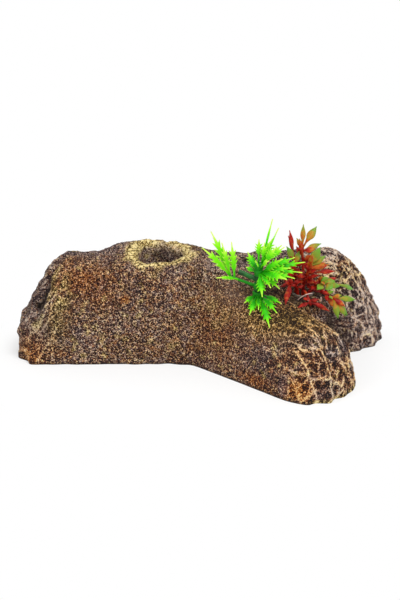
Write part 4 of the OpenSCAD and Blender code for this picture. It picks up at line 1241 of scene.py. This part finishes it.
def make_plants():
    """All the sprays, each a little paler or deeper than the next, and all the sprigs."""
    make_spray("green_front_spray", FRONT_AT, STEM_R + 2 * SHOULDER, FRONT_LEAVES, pale=-0.1)
    make_spray("green_left_spray", LEFT_AT, STEM_R + SHOULDER, LEFT_LEAVES, pale=0.25, arm=LEFT_ARM)
    make_spray("green_crown_spray", CROWN_AT, STEM_R, CROWN_LEAVES + CROWN_FILL, pale=0.0)
    make_spray(
        "green_top_spray", CROWN_AT + COLLAR_H, STEM_R, TOP_LEAVES + TOP_FILL, pale=0.12, stalk=TOP_STALK)
    for name, (hole, end, leaves) in RED_SPRIGS.items():
        make_sprig(name, hole, end, leaves + THICKET.get(name, ()))


def make_glue_strings():
    """The glue's strings: thin tubes along quadratic curves."""
    strings = Moulding()
    for start, middle, end, radius in GLUE_STRINGS:
        path = bend(start, middle, end, np.linspace(0, 1, STRING_RINGS))
        strings.tube(np.array([*RED_AT, RED_Z]) + path, np.full(STRING_RINGS, radius), STRING_SIDES)
    points, faces, _ = strings.gathered()
    put("red_glue_strings", points, faces, {}, GLUE_STRING)


def dress_cad():
    """Finishes for the CAD nodes that keep their own shapes."""
    for name, material in (
        ("green_stem", STEM), ("red_foot", RED), ("green_glue_bead", GLUE), ("red_glue_bead", GLUE),
    ):
        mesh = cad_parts[name].data
        mesh.materials.clear()
        mesh.materials.append(material)


# The studio, in metres and watts: the floor's half-width, the oval round the log inside which its shadow
# shows, how white the floor is there, where that ends, the world's light, and lamps by name, place, width
# and power.
FLOOR_HALF = 4.0
SHADOW_OVAL = (0.115, 0.065)
SHADOW_WHITE = 0.5
SHADOW_EDGE = (0.95, 1.3)
WORLD_LIGHT = 0.62
LAMPS = (("key_lamp", (0.25, -0.45, 0.95), 0.6, 7.5), ("side_lamp", (-0.7, -0.5, 0.6), 0.6, 2.0))
LAMP_AIM = (0, 0, 0.03)
# The photograph's view, level across: the point looked at and its distance in millimetres, the pitch in
# degrees, and the focal length in pixels of an image 600 high.
AIM = (-1.9, 20.9, 29.0)
CAMERA_FAR = 675.5
PITCH = 23.0
FOCAL_PX = 1145
IMAGE_HIGH = 600
SENSOR = 36.0


def seen_itself(tree):
    """A socket that is 1 for rays that show the backdrop: from the camera, in gloss or through something
    clear."""
    rays = add(tree, "ShaderNodeLightPath").outputs
    seen = rays["Is Camera Ray"]
    for name in ("Is Glossy Ray", "Is Transmission Ray"):
        seen = add(tree, "ShaderNodeMath", {"operation": "MAXIMUM"}, {0: seen, 1: rays[name]}).outputs[0]
    return seen


def paper_sweep():
    """Matt white paper: plain white to the eye, with the object's soft grey shadow close round it."""
    made, tree, place = new_material("white_paper_sweep")
    oval = add(tree, "ShaderNodeVectorMath", {"operation": "MULTIPLY"}, {
        0: place, 1: (1 / SHADOW_OVAL[0], 1 / SHADOW_OVAL[1], 0)}).outputs[0]
    far = add(tree, "ShaderNodeVectorMath", {"operation": "LENGTH"}, {0: oval}).outputs["Value"]
    white = add(tree, "ShaderNodeMapRange", {"interpolation_type": "SMOOTHSTEP"}, {
        "Value": far, "From Min": SHADOW_EDGE[0], "From Max": SHADOW_EDGE[1], "To Min": SHADOW_WHITE,
        "To Max": 1.0}).outputs[0]
    share = add(tree, "ShaderNodeMath", {"operation": "MULTIPLY"}, {
        0: seen_itself(tree), 1: white}).outputs[0]
    matt = add(tree, "ShaderNodeBsdfDiffuse", {}, {"Color": linear("#efefef")}).outputs[0]
    bright = add(tree, "ShaderNodeEmission", {}, {"Color": linear("#ffffff"), "Strength": 1.0}).outputs[0]
    sheet = add(tree, "ShaderNodeMixShader", {}, {0: share, 1: matt, 2: bright}).outputs[0]
    add(tree, "ShaderNodeOutputMaterial", {}, {"Surface": sheet})
    return made


def make_studio():
    """A pale floor that shows white to the camera and keeps the soft shadow, a white world and soft
    lamps."""
    mesh = bpy.data.meshes.new("floor")
    square = [(-1, -1, 0), (1, -1, 0), (1, 1, 0), (-1, 1, 0)]
    mesh.from_pydata((np.array(square) * FLOOR_HALF).tolist(), [], [(0, 1, 2, 3)])
    mesh.materials.append(paper_sweep())
    floor = bpy.data.objects.new("floor", mesh)
    bpy.context.scene.collection.objects.link(floor)

    world = bpy.data.worlds.new("studio")
    bpy.context.scene.world = world
    world.use_nodes = True
    tree = world.node_tree
    tree.nodes.clear()
    level = add(tree, "ShaderNodeMapRange", {}, {
        "Value": seen_itself(tree), "To Min": WORLD_LIGHT, "To Max": 1.0}).outputs[0]
    sky = add(tree, "ShaderNodeBackground", {}, {"Color": linear("#ffffff"), "Strength": level}).outputs[0]
    add(tree, "ShaderNodeOutputWorld", {}, {"Surface": sky})

    for name, place, size, watts in LAMPS:
        lamp = bpy.data.lights.new(name, "AREA")
        lamp.shape = "DISK"
        lamp.size = size
        lamp.energy = watts
        held = bpy.data.objects.new(name, lamp)
        held.location = place
        held.rotation_euler = (Vector(LAMP_AIM) - Vector(place)).to_track_quat("-Z", "Y").to_euler()
        bpy.context.scene.collection.objects.link(held)


def make_camera():
    """The photograph's view: level across, pitched down, for an image of 400 by 600."""
    pitch = math.radians(PITCH)
    back = Vector((0, -math.cos(pitch), math.sin(pitch)))
    lens = bpy.data.cameras.new("photo_view")
    lens.sensor_width = SENSOR
    lens.lens = SENSOR * FOCAL_PX / IMAGE_HIGH
    lens.clip_start = 0.01
    lens.clip_end = 50.0
    camera = bpy.data.objects.new("photo_view", lens)
    camera.location = (Vector(AIM) + back * CAMERA_FAR) * MM
    camera.rotation_euler = (-back).to_track_quat("-Z", "Y").to_euler()
    bpy.context.scene.collection.objects.link(camera)
    bpy.context.scene.camera = camera


make_log()
make_plants()
make_glue_strings()
dress_cad()
make_studio()
make_camera()
bpy.context.scene.view_settings.view_transform = "Standard"
